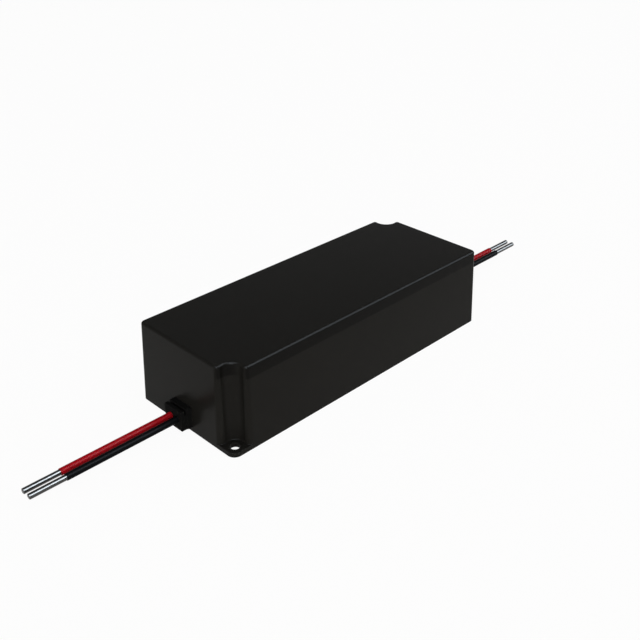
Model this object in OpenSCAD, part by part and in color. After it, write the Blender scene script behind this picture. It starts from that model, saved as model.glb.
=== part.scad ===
// A potted, waterproof power supply in a drafted plastic case.
// The case stands on its base, its length runs along X, and the origin is the middle of the base.
// The input leads leave the end at -X and the output leads the end at +X.
// Two diagonal corners are scooped out over mounting lugs: the one at -X -Y and the one at +X +Y.

/* [Case] */
// Length of the case at its base
case_l = 150.2; // [145:0.1:200]
// Width of the case at its base
case_w = 58.4; // [56:0.1:80]
// Height of the case
case_h = 37; // [34:0.1:50]
// Draft of the moulded walls, in degrees
draft = 2; // [0.5:0.25:3]
// Thickness of the side walls
wall = 2; // [1.6:0.1:2.6]
// Thickness of the top wall
roof_t = 2.2; // [1.5:0.1:3]
// Round along the edge of the top
top_r = 1.2; // [0.6:0.1:1.6]
// Round of the two plain upright corners
corner_r = 2; // [1.5:0.1:4]

/* [Scooped corners] */
// Distance of the scoop's axis from both walls, at the base
scoop_in = 4.2; // [4:0.1:5]
// Radius of the scoop, at the base
scoop_r = 4.1; // [3.6:0.1:5]
// Round between the scoop and each wall, at the base
lip_r = 2.4; // [1.8:0.1:3]
// Draft of the scoop and its rounds, in degrees
scoop_draft = 1.25; // [0.5:0.25:1.5]
// Thickness of a mounting lug
lug_t = 2.1; // [1.6:0.1:4]
// Round of a lug's outer corner
lug_r = 3.5; // [3:0.1:6]
// Diameter of a screw hole
screw_hole_d = 4.2; // [3.2:0.1:5]
// Distance of a screw hole from both walls
screw_hole_in = 4.2; // [3.8:0.1:5]

/* [Base] */
// Thickness of the base cover
cover_t = 1.8; // [1.2:0.1:2.4]
// Width of the case's rim around the base cover
rim_w = 1; // [0.8:0.1:1.4]
// Gap all round the base cover
cover_gap = 0.1; // [0.05:0.05:0.3]

/* [Circuit board] */
// Height of the board's underside over the base
board_z = 3.6; // [3.2:0.1:6]
// Thickness of the board
board_t = 1.6; // [1:0.1:2]
// Gap between the board's edge and the wall
board_gap = 0.4; // [0.2:0.1:1]
// Length of a pin below the board
pin_tail = 1.2; // [0.6:0.1:1.2]
// Diameter of a component's pin
pin_d = 0.8; // [0.6:0.1:1]
// How much wider a hole in the board is than its pin
pin_gap = 0.3; // [0.1:0.1:0.5]

/* [Strain reliefs] */
// Width of the block that stands on the wall
relief_w = 10.2; // [9.5:0.1:12]
// Height of the block that stands on the wall
relief_h = 8.7; // [8:0.1:10]
// How far the block stands out from the foot of the wall
relief_block = 2.2; // [1.5:0.1:4]
// Width of the groove outside the block
relief_groove = 1; // [0.6:0.1:1.5]
// Thickness of the outer plate
relief_plate = 1.6; // [1:0.1:3]
// How much smaller the outer plate is than the block, on each side
relief_step = 0.2; // [0:0.05:0.5]
// Depth of the groove and of the neck in the wall, on each side
relief_neck = 0.9; // [0.6:0.05:1.2]
// Thickness of the flange inside the wall
relief_flange = 1.4; // [1:0.1:2]
// Round of the strain relief's corners
relief_r = 0.4; // [0.3:0.1:1.2]

/* [Leads] */
// Diameter of a lead over its insulation
lead_d = 2.8; // [2.4:0.1:3.4]
// Diameter of a lead's tinned conductor
core_d = 2.3; // [1.5:0.05:2.4]
// Distance between the two leads of a pair
lead_pitch = 4; // [3.4:0.1:4.5]
// Height of the leads over the base, unless the board needs them higher
lead_z = 6.9; // [6.6:0.1:9]
// Distance of the pair's middle from the middle of the case
lead_y = 1; // [-2:0.1:2]
// Bare length of an input conductor
input_bare = 14.8; // [8:0.1:20]
// Bare length of an output conductor
output_bare = 15.4; // [8:0.1:20]
// Distance of a lead's solder hole from the case's end
pad_in = 16; // [15:0.1:17]

/* [Hidden] */

// Sides of a true round
$fn = 48;
// How far a cutting tool runs past what it cuts
over = 1;
// Smallest round that an inner corner keeps
least_r = 0.3;
// Steps of each arc of the case's outline
lip_steps = 6;
scoop_steps = 12;
corner_steps = 6;
edge_steps = 4;

board_top = board_z + board_t;
roof_z = case_h - roof_t;
// Height of the leads' middle lines, clear of the board below them
lead_line_z = max(lead_z, board_top + lead_d / 2 + 0.25);
relief_out = case_l / 2 + relief_block + relief_groove + relief_plate;

// Stations of the free leads, chosen by hand, and the number of sides of their tubes
input_route = [-86, -93, -100, -107, -114, -121, -129];
output_route = [86, 93, 100, 107, 114, 121, 127, 132.2];
lead_sides = 8;
lead_hair = 0.02;
// Bend of a conductor down into the board, and where the insulation ends before it
core_bend = 2.4;
strip_in = 4.5;

// Places of the components on the board
fuse_at = [-60, 15];
suppressor_at = [-59.5, -14];
film_at = [-43, -17.5];
filter_at = [-43, 3];
input_cap_at = [[-22, 13], [-22, -13]];
sink_at = [16, 20.5];
transistor_at = [2, 30];
transformer_at = [9, -4];
chip_at = [-5, -21];
opto_at = [12, -21];
sense_at = [-10.5, -2];
snub_r_at = [25, -21];
snub_c_at = [-9, 12];
safety_at = [29, 7];
choke_at = [37, -14];
output_cap_at = [[51.5, -13], [51.5, 13], [40, 4]];

// Sizes of the components
fuse_size = [8.4, 7.6];
fuse_pitch = 5;
suppressor_size = [12, 4.6];
suppressor_pitch = 7.5;
film_size = [18, 8.5, 15];
film_pitch = 15;
filter_leg = 4.4;
filter_size = [21, 18];
filter_z = 7.2;
filter_coil_d = 9.6;
filter_wire = 0.8;
input_cap_size = [16, 25];
input_cap_pitch = 7.5;
output_cap_size = [10, 20];
output_cap_pitch = 5;
sink_size = [48, 2.5, 24];
sink_screw_z = 17.1;
tab_size = [10.2, 1.3, 15.6];
mold_h = 9;
mold_t = 4.4;
tab_pitch = 2.54;
pad_t = 0.3;
screw_d = 3;
screw_head = [5.6, 2];
trafo_core = [28, 9, 24];
trafo_leg_d = 8.6;
trafo_yoke = 4.2;
trafo_side = 4;
trafo_wall = 0.9;
trafo_coil_d = 19;
trafo_wire = 1.1;
chip_size = [9.6, 6.4, 3.4];
opto_size = [4.7, 6.4, 3.4];
chip_row = 7.6;
sense_span = 10;
sense_h = 4;
sense_d = 1.2;
resistor_size = [3.6, 9.5];
resistor_pitch = 14;
snub_c_size = [7, 3];
safety_size = [9, 4];
disc_pitch = 5;
drum_size = [14, 17];
drum_post_d = 6;
drum_flange = 1.6;
drum_wire = 1.3;
choke_pitch = 7.5;

// The case's outline

// Points of an arc about a centre, from angle a to angle b
function arc(c, r, a, b, n) = [for (i = [0:n]) c + r * [cos(a + (b - a) * i / n), sin(a + (b - a) * i / n)]];

// All but the first and the last of a list
function inner(p) = [for (i = [1:len(p) - 2]) p[i]];

// How far a wall has drawn in at height z
function drawn(z) = z * tan(draft);

// A plain corner at height z with its base corner at the origin, o inside the case's outer face
function plain_corner(z, o) =
    let (r = max(corner_r - o, least_r), mid = drawn(z) + o + r)
    arc([mid, mid], r, 180, 270, corner_steps);

// A scooped corner at height z with its base corner at the origin, o inside the case's outer face:
// a round, the scoop, and a round again
function scooped_corner(z, o) =
    let (grown = z * tan(scoop_draft) + o,
         r = max(lip_r - grown, least_r),
         s = scoop_r + grown,
         mid = drawn(z) + o + r,
         along = scoop_in + sqrt(pow(s + r, 2) - pow(scoop_in - mid, 2)),
         a = atan2(along - scoop_in, scoop_in - mid))
    concat(arc([mid, along], r, 180, 360 - a, lip_steps),
        inner(arc([scoop_in, scoop_in], s, 180 - a, a - 90, scoop_steps)),
        arc([along, mid], r, a + 90, 270, lip_steps));

// A corner's own point turned by k quarters, and its place on the case
function quarter(p, k) = k == 0 ? p : quarter([-p[1], p[0]], k - 1);
function corner_at(k) = [(k == 0 || k == 3 ? -1 : 1) * case_l / 2, (k < 2 ? -1 : 1) * case_w / 2];
function placed(p, k) = [for (q = p) corner_at(k) + quarter(q, k)];

// A lug's corner at height z with its base corner at the origin, between the ends of the scoop's rounds
function lug_corner(z) =
    let (lip = scooped_corner(z, 0))
    concat([lip[0]], arc([lug_r, lug_r], lug_r - drawn(z), 180, 270, corner_steps), [lip[len(lip) - 1]]);

// The whole outline at height z, o inside the outer face, and the outline of the foot with its two lugs
function outline(z, o) = concat(
    placed(scooped_corner(z, o), 0), placed(plain_corner(z, o), 1),
    placed(scooped_corner(z, o), 2), placed(plain_corner(z, o), 3));
function foot_outline(z) = concat(
    placed(lug_corner(z), 0), placed(plain_corner(z, 0), 1),
    placed(lug_corner(z), 2), placed(plain_corner(z, 0), 3));

// The points of a stack of rings, each a height and its outline
function points_of(rings) = [for (g = rings, p = g[1]) [p[0], p[1], g[0]]];

// The triangles between the rings of a stack, whose first point has the number first
function sides_of(rings, first) =
    let (n = len(rings[0][1]))
    [for (j = [0:len(rings) - 2], i = [0:n - 1], half = [0, 1])
        let (a = first + j * n + i, b = first + j * n + (i + 1) % n)
        half == 0 ? [a, a + n, b + n] : [a, b + n, b]];

// The two points at height z that a cap's triangles start from, well inside the scooped corners and off
// their diagonals, so that no triangle's edge passes through a corner's middle point
function hubs(z) = [for (k = [0, 2]) concat(placed([case_w * [0.36, 0.3]], k)[0], z)];

// The triangles that cap a stack at its base: its ring starts at the point first and has n points in each
// scooped corner, and its two hubs are the point hub and the next one
function cap(first, n, hub) =
    let (half = n + corner_steps + 1)
    [for (h = [0, 1], i = [0:half])
        let (a = first + h * half, next = first + (1 - h) * half, own = hub + h, other = hub + 1 - h)
        i < n - 1 ? [own, a + i, a + i + 1] :
            i == n - 1 ? [other, own, a + i] :
            i < half ? [other, a + i - 1, a + i] : [other, a + i - 1, next]];

// The same triangles for a cap that looks up
function turned(faces) = [for (f = faces) [f[2], f[1], f[0]]];

// A solid through a stack of rings
module loft(rings) {
    n = len(rings[0][1]);
    last = len(rings) - 1;
    scoop_n = len(scooped_corner(0, 0));
    hub = (last + 1) * n;
    polyhedron(concat(points_of(rings), hubs(rings[0][0]), hubs(rings[last][0])),
        concat(cap(0, scoop_n, hub), sides_of(rings, 0), turned(cap(last * n, scoop_n, hub + 2))));
}

// The triangles of a lug's flat top, between its own edge from the point foot and the scoop's from wall on
function lug_top(foot, wall, foot_n, wall_n) =
    let (middle = (wall_n - 1) / 2)
    concat([for (i = [0:wall_n - 2]) [wall + i, wall + i + 1, foot + (i < middle ? 1 : foot_n - 2)]],
        [for (i = [1:foot_n - 3]) [wall + middle, foot + i + 1, foot + i]]);

// The outside of the case in one piece: its foot, the flat tops of its two lugs, and its body
module case_outside() {
    foot = [for (z = [0, lug_t]) [z, foot_outline(z)]];
    body = concat([[lug_t, outline(lug_t, 0)]], [for (i = [0:edge_steps])
        let (a = 90 * i / edge_steps, z = case_h - top_r + top_r * sin(a))
        [z, outline(z, top_r * (1 - cos(a)))]]);
    foot_n = len(foot[0][1]);
    body_n = len(body[0][1]);
    lug_n = len(lug_corner(0));
    scoop_n = len(scooped_corner(0, 0));
    plain_n = len(plain_corner(0, 0));
    hub = 2 * foot_n + len(body) * body_n;
    polyhedron(concat(points_of(foot), points_of(body), hubs(0), hubs(case_h)),
        concat(cap(0, lug_n, hub), sides_of(foot, 0),
            lug_top(foot_n, 2 * foot_n, lug_n, scoop_n),
            lug_top(foot_n + lug_n + plain_n, 2 * foot_n + scoop_n + plain_n, lug_n, scoop_n),
            sides_of(body, 2 * foot_n), turned(cap(hub - body_n, scoop_n, hub + 2))));
}

// The inside of the case above its base cover
inside_rings = [for (z = [cover_t, roof_z]) [z, outline(z, wall)]];

module case_inside() {
    loft(inside_rings);
}

// All that is hollow in the case: its inside, and the wider seat of the base cover below it
module case_hollow() {
    loft(concat([for (z = [-over, cover_t]) [z, outline(0, rim_w)]], inside_rings));
}

// A screw hole's tool
module screw_hole(k) {
    at = placed([[screw_hole_in, screw_hole_in]], k)[0];
    translate([at[0], at[1], -over]) cylinder(d = screw_hole_d, h = lug_t + 2 * over);
}

// Ribs that stop the board, and posts of the cover that carry it
rib_x = [-39, 1.5, 39];
rib_t = 1.6;
rib_reach = 2;
post_d = 3.6;
post_in = 5;

module ribs() {
    for (x = rib_x, s = [-1, 1]) {
        inside = case_w / 2 - wall - drawn(board_top) - rib_reach;
        outside = case_w / 2 - drawn(case_h) - 0.3;
        translate([x - rib_t / 2, s > 0 ? inside : -outside, board_top])
            cube([rib_t, outside - inside, roof_z - board_top + over]);
    }
}

module case_shell() {
    color([0.09, 0.09, 0.095]) {
        difference() {
            union() {
                difference() {
                    case_outside();
                    case_hollow();
                }
                ribs();
            }
            screw_hole(0);
            screw_hole(2);
            wall_window(0);
            wall_window(1);
        }
    }
}

module base_cover() {
    color([0.11, 0.11, 0.115]) {
        linear_extrude(cover_t) polygon(outline(0, rim_w + cover_gap));
        cover_posts();
    }
}

module cover_posts() {
    for (x = rib_x, s = [-1, 1])
        translate([x, s * (case_w / 2 - post_in), cover_t - 0.5])
            cylinder(d = post_d, h = board_z - cover_t + 0.5);
}

// Strain reliefs and leads, made for the input end and mirrored for the output end
module at_end(k) {
    mirror([k, 0, 0]) children();
}

// A square bar along -X with round corners, from x = a out to x = b
module bar(a, b, w, h) {
    translate([-a, lead_y, lead_line_z]) rotate([0, -90, 0])
        linear_extrude(b - a) rounded_square([h, w], relief_r);
}

module rounded_square(size, r) {
    square([size[0] - 2 * r, size[1]], center = true);
    square([size[0], size[1] - 2 * r], center = true);
    for (x = [-1, 1], y = [-1, 1])
        translate([x * (size[0] / 2 - r), y * (size[1] / 2 - r)]) circle(r = r, $fn = 24);
}

// The neck of a strain relief, which fills its window in the wall
module neck(a, b) {
    bar(a, b, relief_w - 2 * relief_neck, relief_h - 2 * relief_neck);
}

module wall_window(k) {
    at_end(k) neck(case_l / 2 - wall - 2 * over, case_l / 2 + over);
}

// Slab between the wall's own slanting planes, drawn in by a and by b, to cut a piece that fits the wall
module between_walls(a, b) {
    h = relief_h * 3;
    near = -case_l / 2 + a;
    far = -case_l / 2 + b;
    rotate([90, 0, 0]) translate([0, 0, -case_w / 2]) linear_extrude(case_w)
        polygon([[near, 0], [near + drawn(h), h], [far + drawn(h), h], [far, 0]]);
}

module relief_body() {
    block_out = case_l / 2 + relief_block;
    intersection() {
        bar(case_l / 2 - wall, block_out, relief_w, relief_h);
        between_walls(-relief_block - over, 0);
    }
    neck(case_l / 2 - wall - drawn(relief_h) - relief_flange, block_out + relief_groove + over / 2);
    bar(block_out + relief_groove, relief_out, relief_w - 2 * relief_step, relief_h - 2 * relief_step);
    intersection() {
        bar(case_l / 2 - wall - drawn(lead_line_z) - 2 * relief_flange, case_l / 2, relief_w, relief_h);
        between_walls(wall, wall + relief_flange);
    }
}

// A strain relief: k is 0 for the input end and 1 for the output end
module strain_relief(k) {
    at_end(k) difference() {
        relief_body();
        for (s = [-1, 1]) lead_line(s, case_l / 2 - 3 * wall - relief_flange, relief_out + over, lead_d);
    }
}

module input_strain_relief() {
    color([0.06, 0.06, 0.065]) strain_relief(0);
}

module output_strain_relief() {
    color([0.06, 0.06, 0.065]) strain_relief(1);
}

// A round bar along a lead's own line, s being 1 for the positive and -1 for the negative lead
module lead_line(s, a, b, d) {
    translate([-a, lead_y + s * lead_pitch / 2, lead_line_z]) rotate([0, -90, 0]) cylinder(d = d, h = b - a);
}

// A tube of the leads' own size through stations along X, a hair slimmer than the round stretch that it joins
module lead_tube(xs, y) {
    r = lead_d / 2 - lead_hair;
    ring = [for (i = [0:lead_sides - 1]) r * [cos(360 * i / lead_sides), sin(360 * i / lead_sides)]];
    flip = xs[0] < xs[len(xs) - 1] ? 1 : -1;
    points = [for (x = xs, p = ring) [x, y + flip * p[0], lead_line_z + p[1]]];
    n = lead_sides;
    m = len(xs);
    sides = [for (j = [0:m - 2], i = [0:n - 1])
        [j * n + i, (j + 1) * n + i, (j + 1) * n + (i + 1) % n, j * n + (i + 1) % n]];
    polyhedron(points, concat([[for (i = [0:n - 1]) i]], sides, [[for (i = [n - 1:-1:0]) (m - 1) * n + i]]));
}

module insulation(k, s) {
    side = k == 0 ? -1 : 1;
    route = concat([side * relief_out], k == 0 ? input_route : output_route);
    difference() {
        union() {
            at_end(k) lead_line(s, case_l / 2 - pad_in + strip_in, relief_out, lead_d);
            lead_tube(route, lead_y + s * lead_pitch / 2);
        }
        at_end(k) lead_line(s, case_l / 2 - pad_in, 2 * case_l, core_d);
    }
}

module input_positive_insulation() {
    color([0.65, 0.06, 0.1]) insulation(0, 1);
}

module input_negative_insulation() {
    color([0.08, 0.08, 0.09]) insulation(0, -1);
}

module output_positive_insulation() {
    color([0.65, 0.06, 0.1]) insulation(1, 1);
}

module output_negative_insulation() {
    color([0.08, 0.08, 0.09]) insulation(1, -1);
}

// A conductor: straight through its insulation, then down through the board
module conductor(k, s) {
    route = k == 0 ? input_route : output_route;
    tip = abs(route[len(route) - 1]) + (k == 0 ? input_bare : output_bare);
    bend_x = case_l / 2 - pad_in + core_bend;
    tip_round = 0.35;
    at_end(k) {
        lead_line(s, bend_x, tip - tip_round, core_d);
        translate([-tip + tip_round, lead_y + s * lead_pitch / 2, lead_line_z]) rotate([0, -90, 0])
            cylinder(d1 = core_d, d2 = core_d - 2 * tip_round, h = tip_round);
        translate([-bend_x, lead_y + s * lead_pitch / 2, lead_line_z - core_bend]) rotate([90, 0, 0])
            rotate_extrude(angle = 90) translate([core_bend, 0]) circle(d = core_d);
        translate([-bend_x + core_bend, lead_y + s * lead_pitch / 2, board_z - pin_tail])
            cylinder(d = core_d, h = lead_line_z - core_bend - board_z + pin_tail);
    }
}

module input_positive_conductor() {
    color([0.78, 0.79, 0.8]) conductor(0, 1);
}

module input_negative_conductor() {
    color([0.78, 0.79, 0.8]) conductor(0, -1);
}

module output_positive_conductor() {
    color([0.78, 0.79, 0.8]) conductor(1, 1);
}

module output_negative_conductor() {
    color([0.78, 0.79, 0.8]) conductor(1, -1);
}

// Components: each stands on the board, with its pins through it

// Two places a pitch apart about a middle, along the direction a
function pair(p, pitch, a = 0) = [for (s = [-1, 1]) p + s * pitch / 2 * [cos(a), sin(a)]];

// A row of n places a pitch apart about a middle, along the direction a
function row(p, n, pitch, a = 0) = [for (i = [0:n - 1]) p + (i - (n - 1) / 2) * pitch * [cos(a), sin(a)]];

// The corner pins of a transformer or choke
function four(p, w, h) = [for (x = [-1, 1], y = [-1, 1]) p + [x * w / 2, y * h / 2]];

// The pins of a chip with n on each side
function chip_pins(p, n) = [for (s = [-1, 1]) each row(p + [0, s * chip_row / 2], n, tab_pitch)];

fuse_pins = pair(fuse_at, fuse_pitch, 90);
suppressor_pins = pair(suppressor_at, suppressor_pitch);
film_pins = pair(film_at, film_pitch);
filter_pins = four(filter_at, filter_size[0] - 3, filter_size[1] - filter_leg);
input_cap_pins = [for (p = input_cap_at) pair(p, input_cap_pitch)];
output_cap_pins = [for (p = output_cap_at) pair(p, output_cap_pitch)];
sink_pins = pair(sink_at + [0, sink_size[1] / 2], sink_size[0] - 8);
tab_y = sink_at[1] - pad_t;
tab_pins = [for (x = transistor_at) row([x, tab_y - 2.6], 3, tab_pitch)];
trafo_pins = four(transformer_at, 15, trafo_coil_d + 1);
choke_pins = pair(choke_at, choke_pitch);
sense_pins = pair(sense_at, sense_span, 90);
snub_r_pins = pair(snub_r_at, resistor_pitch);
snub_c_pins = pair(snub_c_at, disc_pitch, 90);
safety_pins = pair(safety_at, disc_pitch, 90);
lead_pads = [for (side = [-1, 1], s = [-1, 1]) [side * (case_l / 2 - pad_in), lead_y + s * lead_pitch / 2]];

// Every pin of the common diameter
small_pins = concat(fuse_pins, suppressor_pins, film_pins, filter_pins, input_cap_pins[0], input_cap_pins[1],
    output_cap_pins[0], output_cap_pins[1], output_cap_pins[2], tab_pins[0], tab_pins[1], trafo_pins,
    choke_pins, snub_r_pins, snub_c_pins, safety_pins, chip_pins(chip_at, 4), chip_pins(opto_at, 2));

module pins(list, d = pin_d, top = 0.4) {
    for (p = list) translate([p[0], p[1], board_z - pin_tail])
        cylinder(d = d, h = board_t + pin_tail + top, $fn = 24);
}

module drill(list, d) {
    for (p = list) translate([p[0], p[1], board_z - over])
        cylinder(d = d + pin_gap, h = board_t + 2 * over, $fn = 24);
}

module on_board(p) {
    translate([p[0], p[1], board_top]) children();
}

module circuit_board() {
    notch_in = wall + drawn(board_top) + relief_flange + 2 * board_gap;
    color([0.05, 0.3, 0.14]) difference() {
        translate([0, 0, board_z]) linear_extrude(board_t)
            polygon(outline(board_top, wall + board_gap));
        for (k = [0, 1]) at_end(k) translate([-case_l / 2, lead_y - relief_w / 2 - board_gap, board_z - over])
            cube([notch_in, relief_w + 2 * board_gap, board_t + 2 * over]);
        drill(small_pins, pin_d);
        drill(sink_pins, 1.4);
        drill(sense_pins, sense_d);
        drill(lead_pads, core_d);
    }
}

// A can capacitor in its sleeve: crimped near the foot, round at the shoulder, with a bare dished top
module can(size) {
    r = size[0] / 2;
    h = size[1];
    crimp = 0.5;
    shoulder = 0.8;
    rotate_extrude() difference() {
        union() {
            square([r - shoulder, h]);
            square([r, h - shoulder]);
            translate([r - shoulder, h - shoulder]) circle(r = shoulder, $fn = 24);
        }
        translate([r + crimp, 3]) circle(r = 2 * crimp, $fn = 24);
        translate([0, h - 0.4]) square([r - 2 * shoulder, 1]);
    }
}

module input_capacitor(i) {
    on_board(input_cap_at[i]) can(input_cap_size);
    pins(input_cap_pins[i]);
}

module input_capacitor_1() {
    color([0.12, 0.13, 0.2]) input_capacitor(0);
}

module input_capacitor_2() {
    color([0.12, 0.13, 0.2]) input_capacitor(1);
}

module output_capacitor(i) {
    on_board(output_cap_at[i]) can(output_cap_size);
    pins(output_cap_pins[i]);
}

module output_capacitor_1() {
    color([0.1, 0.25, 0.2]) output_capacitor(0);
}

module output_capacitor_2() {
    color([0.1, 0.25, 0.2]) output_capacitor(1);
}

module output_capacitor_3() {
    color([0.1, 0.25, 0.2]) output_capacitor(2);
}

module input_fuse() {
    color([0.3, 0.2, 0.15]) {
        on_board(fuse_at) rotate_extrude() {
            square([fuse_size[0] / 2, fuse_size[1] - 1]);
            square([fuse_size[0] / 2 - 0.6, fuse_size[1]]);
        }
        pins(fuse_pins);
    }
}

// A dipped disc that stands on its edge, across the direction a
module disc(size, a) {
    rotate([0, 0, a]) translate([0, 0, size[0] / 2 + 0.3]) rotate([90, 0, 0]) rotate_extrude() {
        square([size[0] / 2 - size[1] / 2, size[1]], center = false);
        translate([size[0] / 2 - size[1] / 2, size[1] / 2]) circle(d = size[1], $fn = 24);
    }
}

module standing_disc(at, size, a, list) {
    shift = size[1] / 2 * [-sin(a), cos(a)];
    on_board(at + shift) disc(size, a);
    pins(list, top = size[1] / 2 + 1.2);
}

module surge_suppressor() {
    color([0.1, 0.2, 0.5]) standing_disc(suppressor_at, suppressor_size, 0, suppressor_pins);
}

module snubber_capacitor() {
    color([0.1, 0.25, 0.55]) standing_disc(snub_c_at, snub_c_size, 90, snub_c_pins);
}

module safety_capacitor() {
    color([0.1, 0.25, 0.55]) standing_disc(safety_at, safety_size, 90, safety_pins);
}

module input_film_capacitor() {
    foot = 0.6;
    color([0.75, 0.6, 0.1]) {
        on_board(film_at) {
            translate([-film_size[0] / 2, -film_size[1] / 2, foot]) cube(film_size - [0, 0, foot]);
            for (s = [-1, 1]) translate([s * (film_size[0] / 2 - 1) - 1, -film_size[1] / 2, 0])
                cube([2, film_size[1], foot + 0.2]);
        }
        pins(film_pins, top = foot + 0.4);
    }
}

// The filter choke: a square ring of ferrite, two bobbins on its long legs, and a winding on each
module filter_leg_place(s) {
    on_board(filter_at) translate([0, s * (filter_size[1] - filter_leg) / 2, filter_z])
        rotate([0, 90, 0]) children();
}

module filter_choke_core() {
    inside = [filter_size[0], filter_size[1]] - 2 * filter_leg * [1, 1];
    color([0.2, 0.2, 0.21]) on_board(filter_at) translate([0, 0, filter_z]) difference() {
        cube([filter_size[0], filter_size[1], filter_leg], center = true);
        cube([inside[0], inside[1], filter_leg + over], center = true);
    }
}

filter_span = filter_size[0] - 2 * filter_leg;
filter_tube_d = filter_leg * sqrt(2) + 0.9;

module filter_choke_bobbin() {
    flange_t = 0.9;
    color([0.85, 0.83, 0.75]) {
        difference() {
            union() {
                for (s = [-1, 1]) filter_leg_place(s) {
                    cylinder(d = filter_tube_d, h = filter_span, center = true);
                    for (e = [-1, 1]) translate([0, 0, e * (filter_span - flange_t) / 2])
                        cylinder(d = filter_coil_d, h = flange_t, center = true);
                }
                on_board(filter_at) for (e = [0, 1]) mirror([e, 0, 0]) {
                    translate([filter_span / 2 - flange_t, -filter_size[1] / 2, 0])
                        cube([flange_t, filter_size[1], filter_z - filter_coil_d / 4]);
                    translate([filter_span / 2 - flange_t, -filter_size[1] / 2, 0])
                        cube([filter_leg + flange_t, filter_size[1], 1.6]);
                }
            }
            filter_choke_core();
        }
        pins(filter_pins, top = 1);
    }
}

// A coil wound about the Z axis: a sleeve whose outside shows its turns
module coil(inner_d, outer_d, h, wire) {
    n = floor(h / wire);
    rotate_extrude() {
        translate([inner_d / 2, 0]) square([outer_d / 2 - wire / 2 - inner_d / 2, h]);
        for (i = [0:n - 1]) translate([outer_d / 2 - wire / 2, (i + 0.5) * h / n]) circle(d = h / n, $fn = 16);
    }
}

module filter_choke_winding(s) {
    h = filter_span - 1.8;
    filter_leg_place(s) translate([0, 0, -h / 2]) coil(filter_tube_d, filter_coil_d - 0.8, h, filter_wire);
}

module filter_choke_winding_1() {
    color([0.7, 0.35, 0.15]) filter_choke_winding(-1);
}

module filter_choke_winding_2() {
    color([0.7, 0.35, 0.15]) filter_choke_winding(1);
}

// The transformer: two ferrite halves that meet at mid height, a spool on the round middle leg, and its winding
module trafo_half() {
    hh = trafo_core[2] / 2;
    translate([-trafo_core[0] / 2, -trafo_core[1] / 2, 0]) cube([trafo_core[0], trafo_core[1], trafo_yoke]);
    for (s = [-1, 1]) translate([s * (trafo_core[0] - trafo_side) / 2 - trafo_side / 2, -trafo_core[1] / 2, 0])
        cube([trafo_side, trafo_core[1], hh]);
    cylinder(d = trafo_leg_d, h = hh);
}

trafo_z = 2.4;
trafo_inner_h = trafo_core[2] - 2 * trafo_yoke;

module transformer_core(i) {
    on_board(transformer_at) translate([0, 0, trafo_z + i * trafo_core[2]])
        rotate([180 * i, 0, 0]) trafo_half();
}

module transformer_core_1() {
    color([0.18, 0.18, 0.19]) transformer_core(0);
}

module transformer_core_2() {
    color([0.18, 0.18, 0.19]) transformer_core(1);
}

module transformer_bobbin() {
    tube_d = trafo_leg_d + 2 * trafo_wall;
    side_clear = trafo_core[0] - 2 * trafo_side;
    block = trafo_coil_d / 2 + 2.4 - trafo_core[1] / 2;
    color([0.1, 0.1, 0.1]) {
        difference() {
            on_board(transformer_at) {
                translate([0, 0, trafo_z + trafo_yoke]) cylinder(d = tube_d, h = trafo_inner_h);
                for (z = [0, trafo_inner_h - trafo_wall]) translate([0, 0, trafo_z + trafo_yoke + z])
                    intersection() {
                        cylinder(d = trafo_coil_d + 1.4, h = trafo_wall);
                        cube([side_clear, 2 * trafo_coil_d, 4 * trafo_wall], center = true);
                    }
                for (k = [0, 1]) mirror([0, k, 0]) translate([-side_clear / 2 + 0.5, trafo_core[1] / 2, 0])
                    cube([side_clear - 1, block, trafo_z + trafo_yoke + trafo_wall]);
            }
            transformer_core(0);
            transformer_core(1);
        }
        pins(trafo_pins, top = 1);
    }
}

module transformer_winding() {
    h = trafo_inner_h - 2 * trafo_wall;
    color([0.75, 0.55, 0.1]) on_board(transformer_at) translate([0, 0, trafo_z + trafo_yoke + trafo_wall])
        coil(trafo_leg_d + 2 * trafo_wall, trafo_coil_d, h, trafo_wire);
}

// The heat sink: an upright plate with short fins, and two flat packages screwed to it
module heat_sink() {
    fin_n = 9;
    fin_reach = 1.2;
    color([0.75, 0.76, 0.78]) difference() {
        union() {
            on_board(sink_at) {
                translate([-sink_size[0] / 2, 0, 0.4]) cube(sink_size - [0, 0, 0.4]);
                for (i = [0:fin_n - 1])
                    translate([(i - (fin_n - 1) / 2) * sink_size[0] / fin_n - 0.6, sink_size[1] - 0.2, 4])
                        cube([1.2, fin_reach + 0.2, sink_size[2] - 4]);
            }
            pins(sink_pins, 1.4, 1);
        }
        for (x = transistor_at) screw_line(x, screw_d);
    }
}

// A bar along a package screw's line, through the tab, the pad and the heat sink
module screw_line(x, d) {
    translate([x, tab_y - over - tab_size[1], board_top + sink_screw_z]) rotate([-90, 0, 0])
        cylinder(d = d, h = sink_size[1] + tab_size[1] + pad_t + 3 * over);
}

// A flat package, whose tab has the screw's hole
module package_solid(i) {
    x = transistor_at[i];
    foot = 4.4;
    translate([x - tab_size[0] / 2, tab_y - tab_size[1], board_top + foot]) cube(tab_size);
    translate([x - tab_size[0] / 2, tab_y - mold_t, board_top + foot])
        cube([tab_size[0], mold_t - 0.4, mold_h]);
    for (p = tab_pins[i]) {
        translate([p[0] - pin_d / 2, p[1] - 0.3, board_top - 0.1]) cube([pin_d, 0.6, foot + 0.5]);
        pins([p]);
    }
}

module package(i) {
    difference() {
        package_solid(i);
        screw_line(transistor_at[i], screw_d + 0.4);
    }
}

module switching_transistor() {
    color([0.13, 0.13, 0.13]) package(0);
}

module rectifier_diode() {
    color([0.13, 0.13, 0.13]) package(1);
}

module insulating_pad(i) {
    x = transistor_at[i];
    difference() {
        translate([x - tab_size[0] / 2 - 0.8, tab_y, board_top + 3.6])
            cube([tab_size[0] + 1.6, pad_t, tab_size[2] + 2]);
        screw_line(x, screw_d);
    }
}

module insulating_pad_1() {
    color([0.75, 0.75, 0.7]) insulating_pad(0);
}

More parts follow.
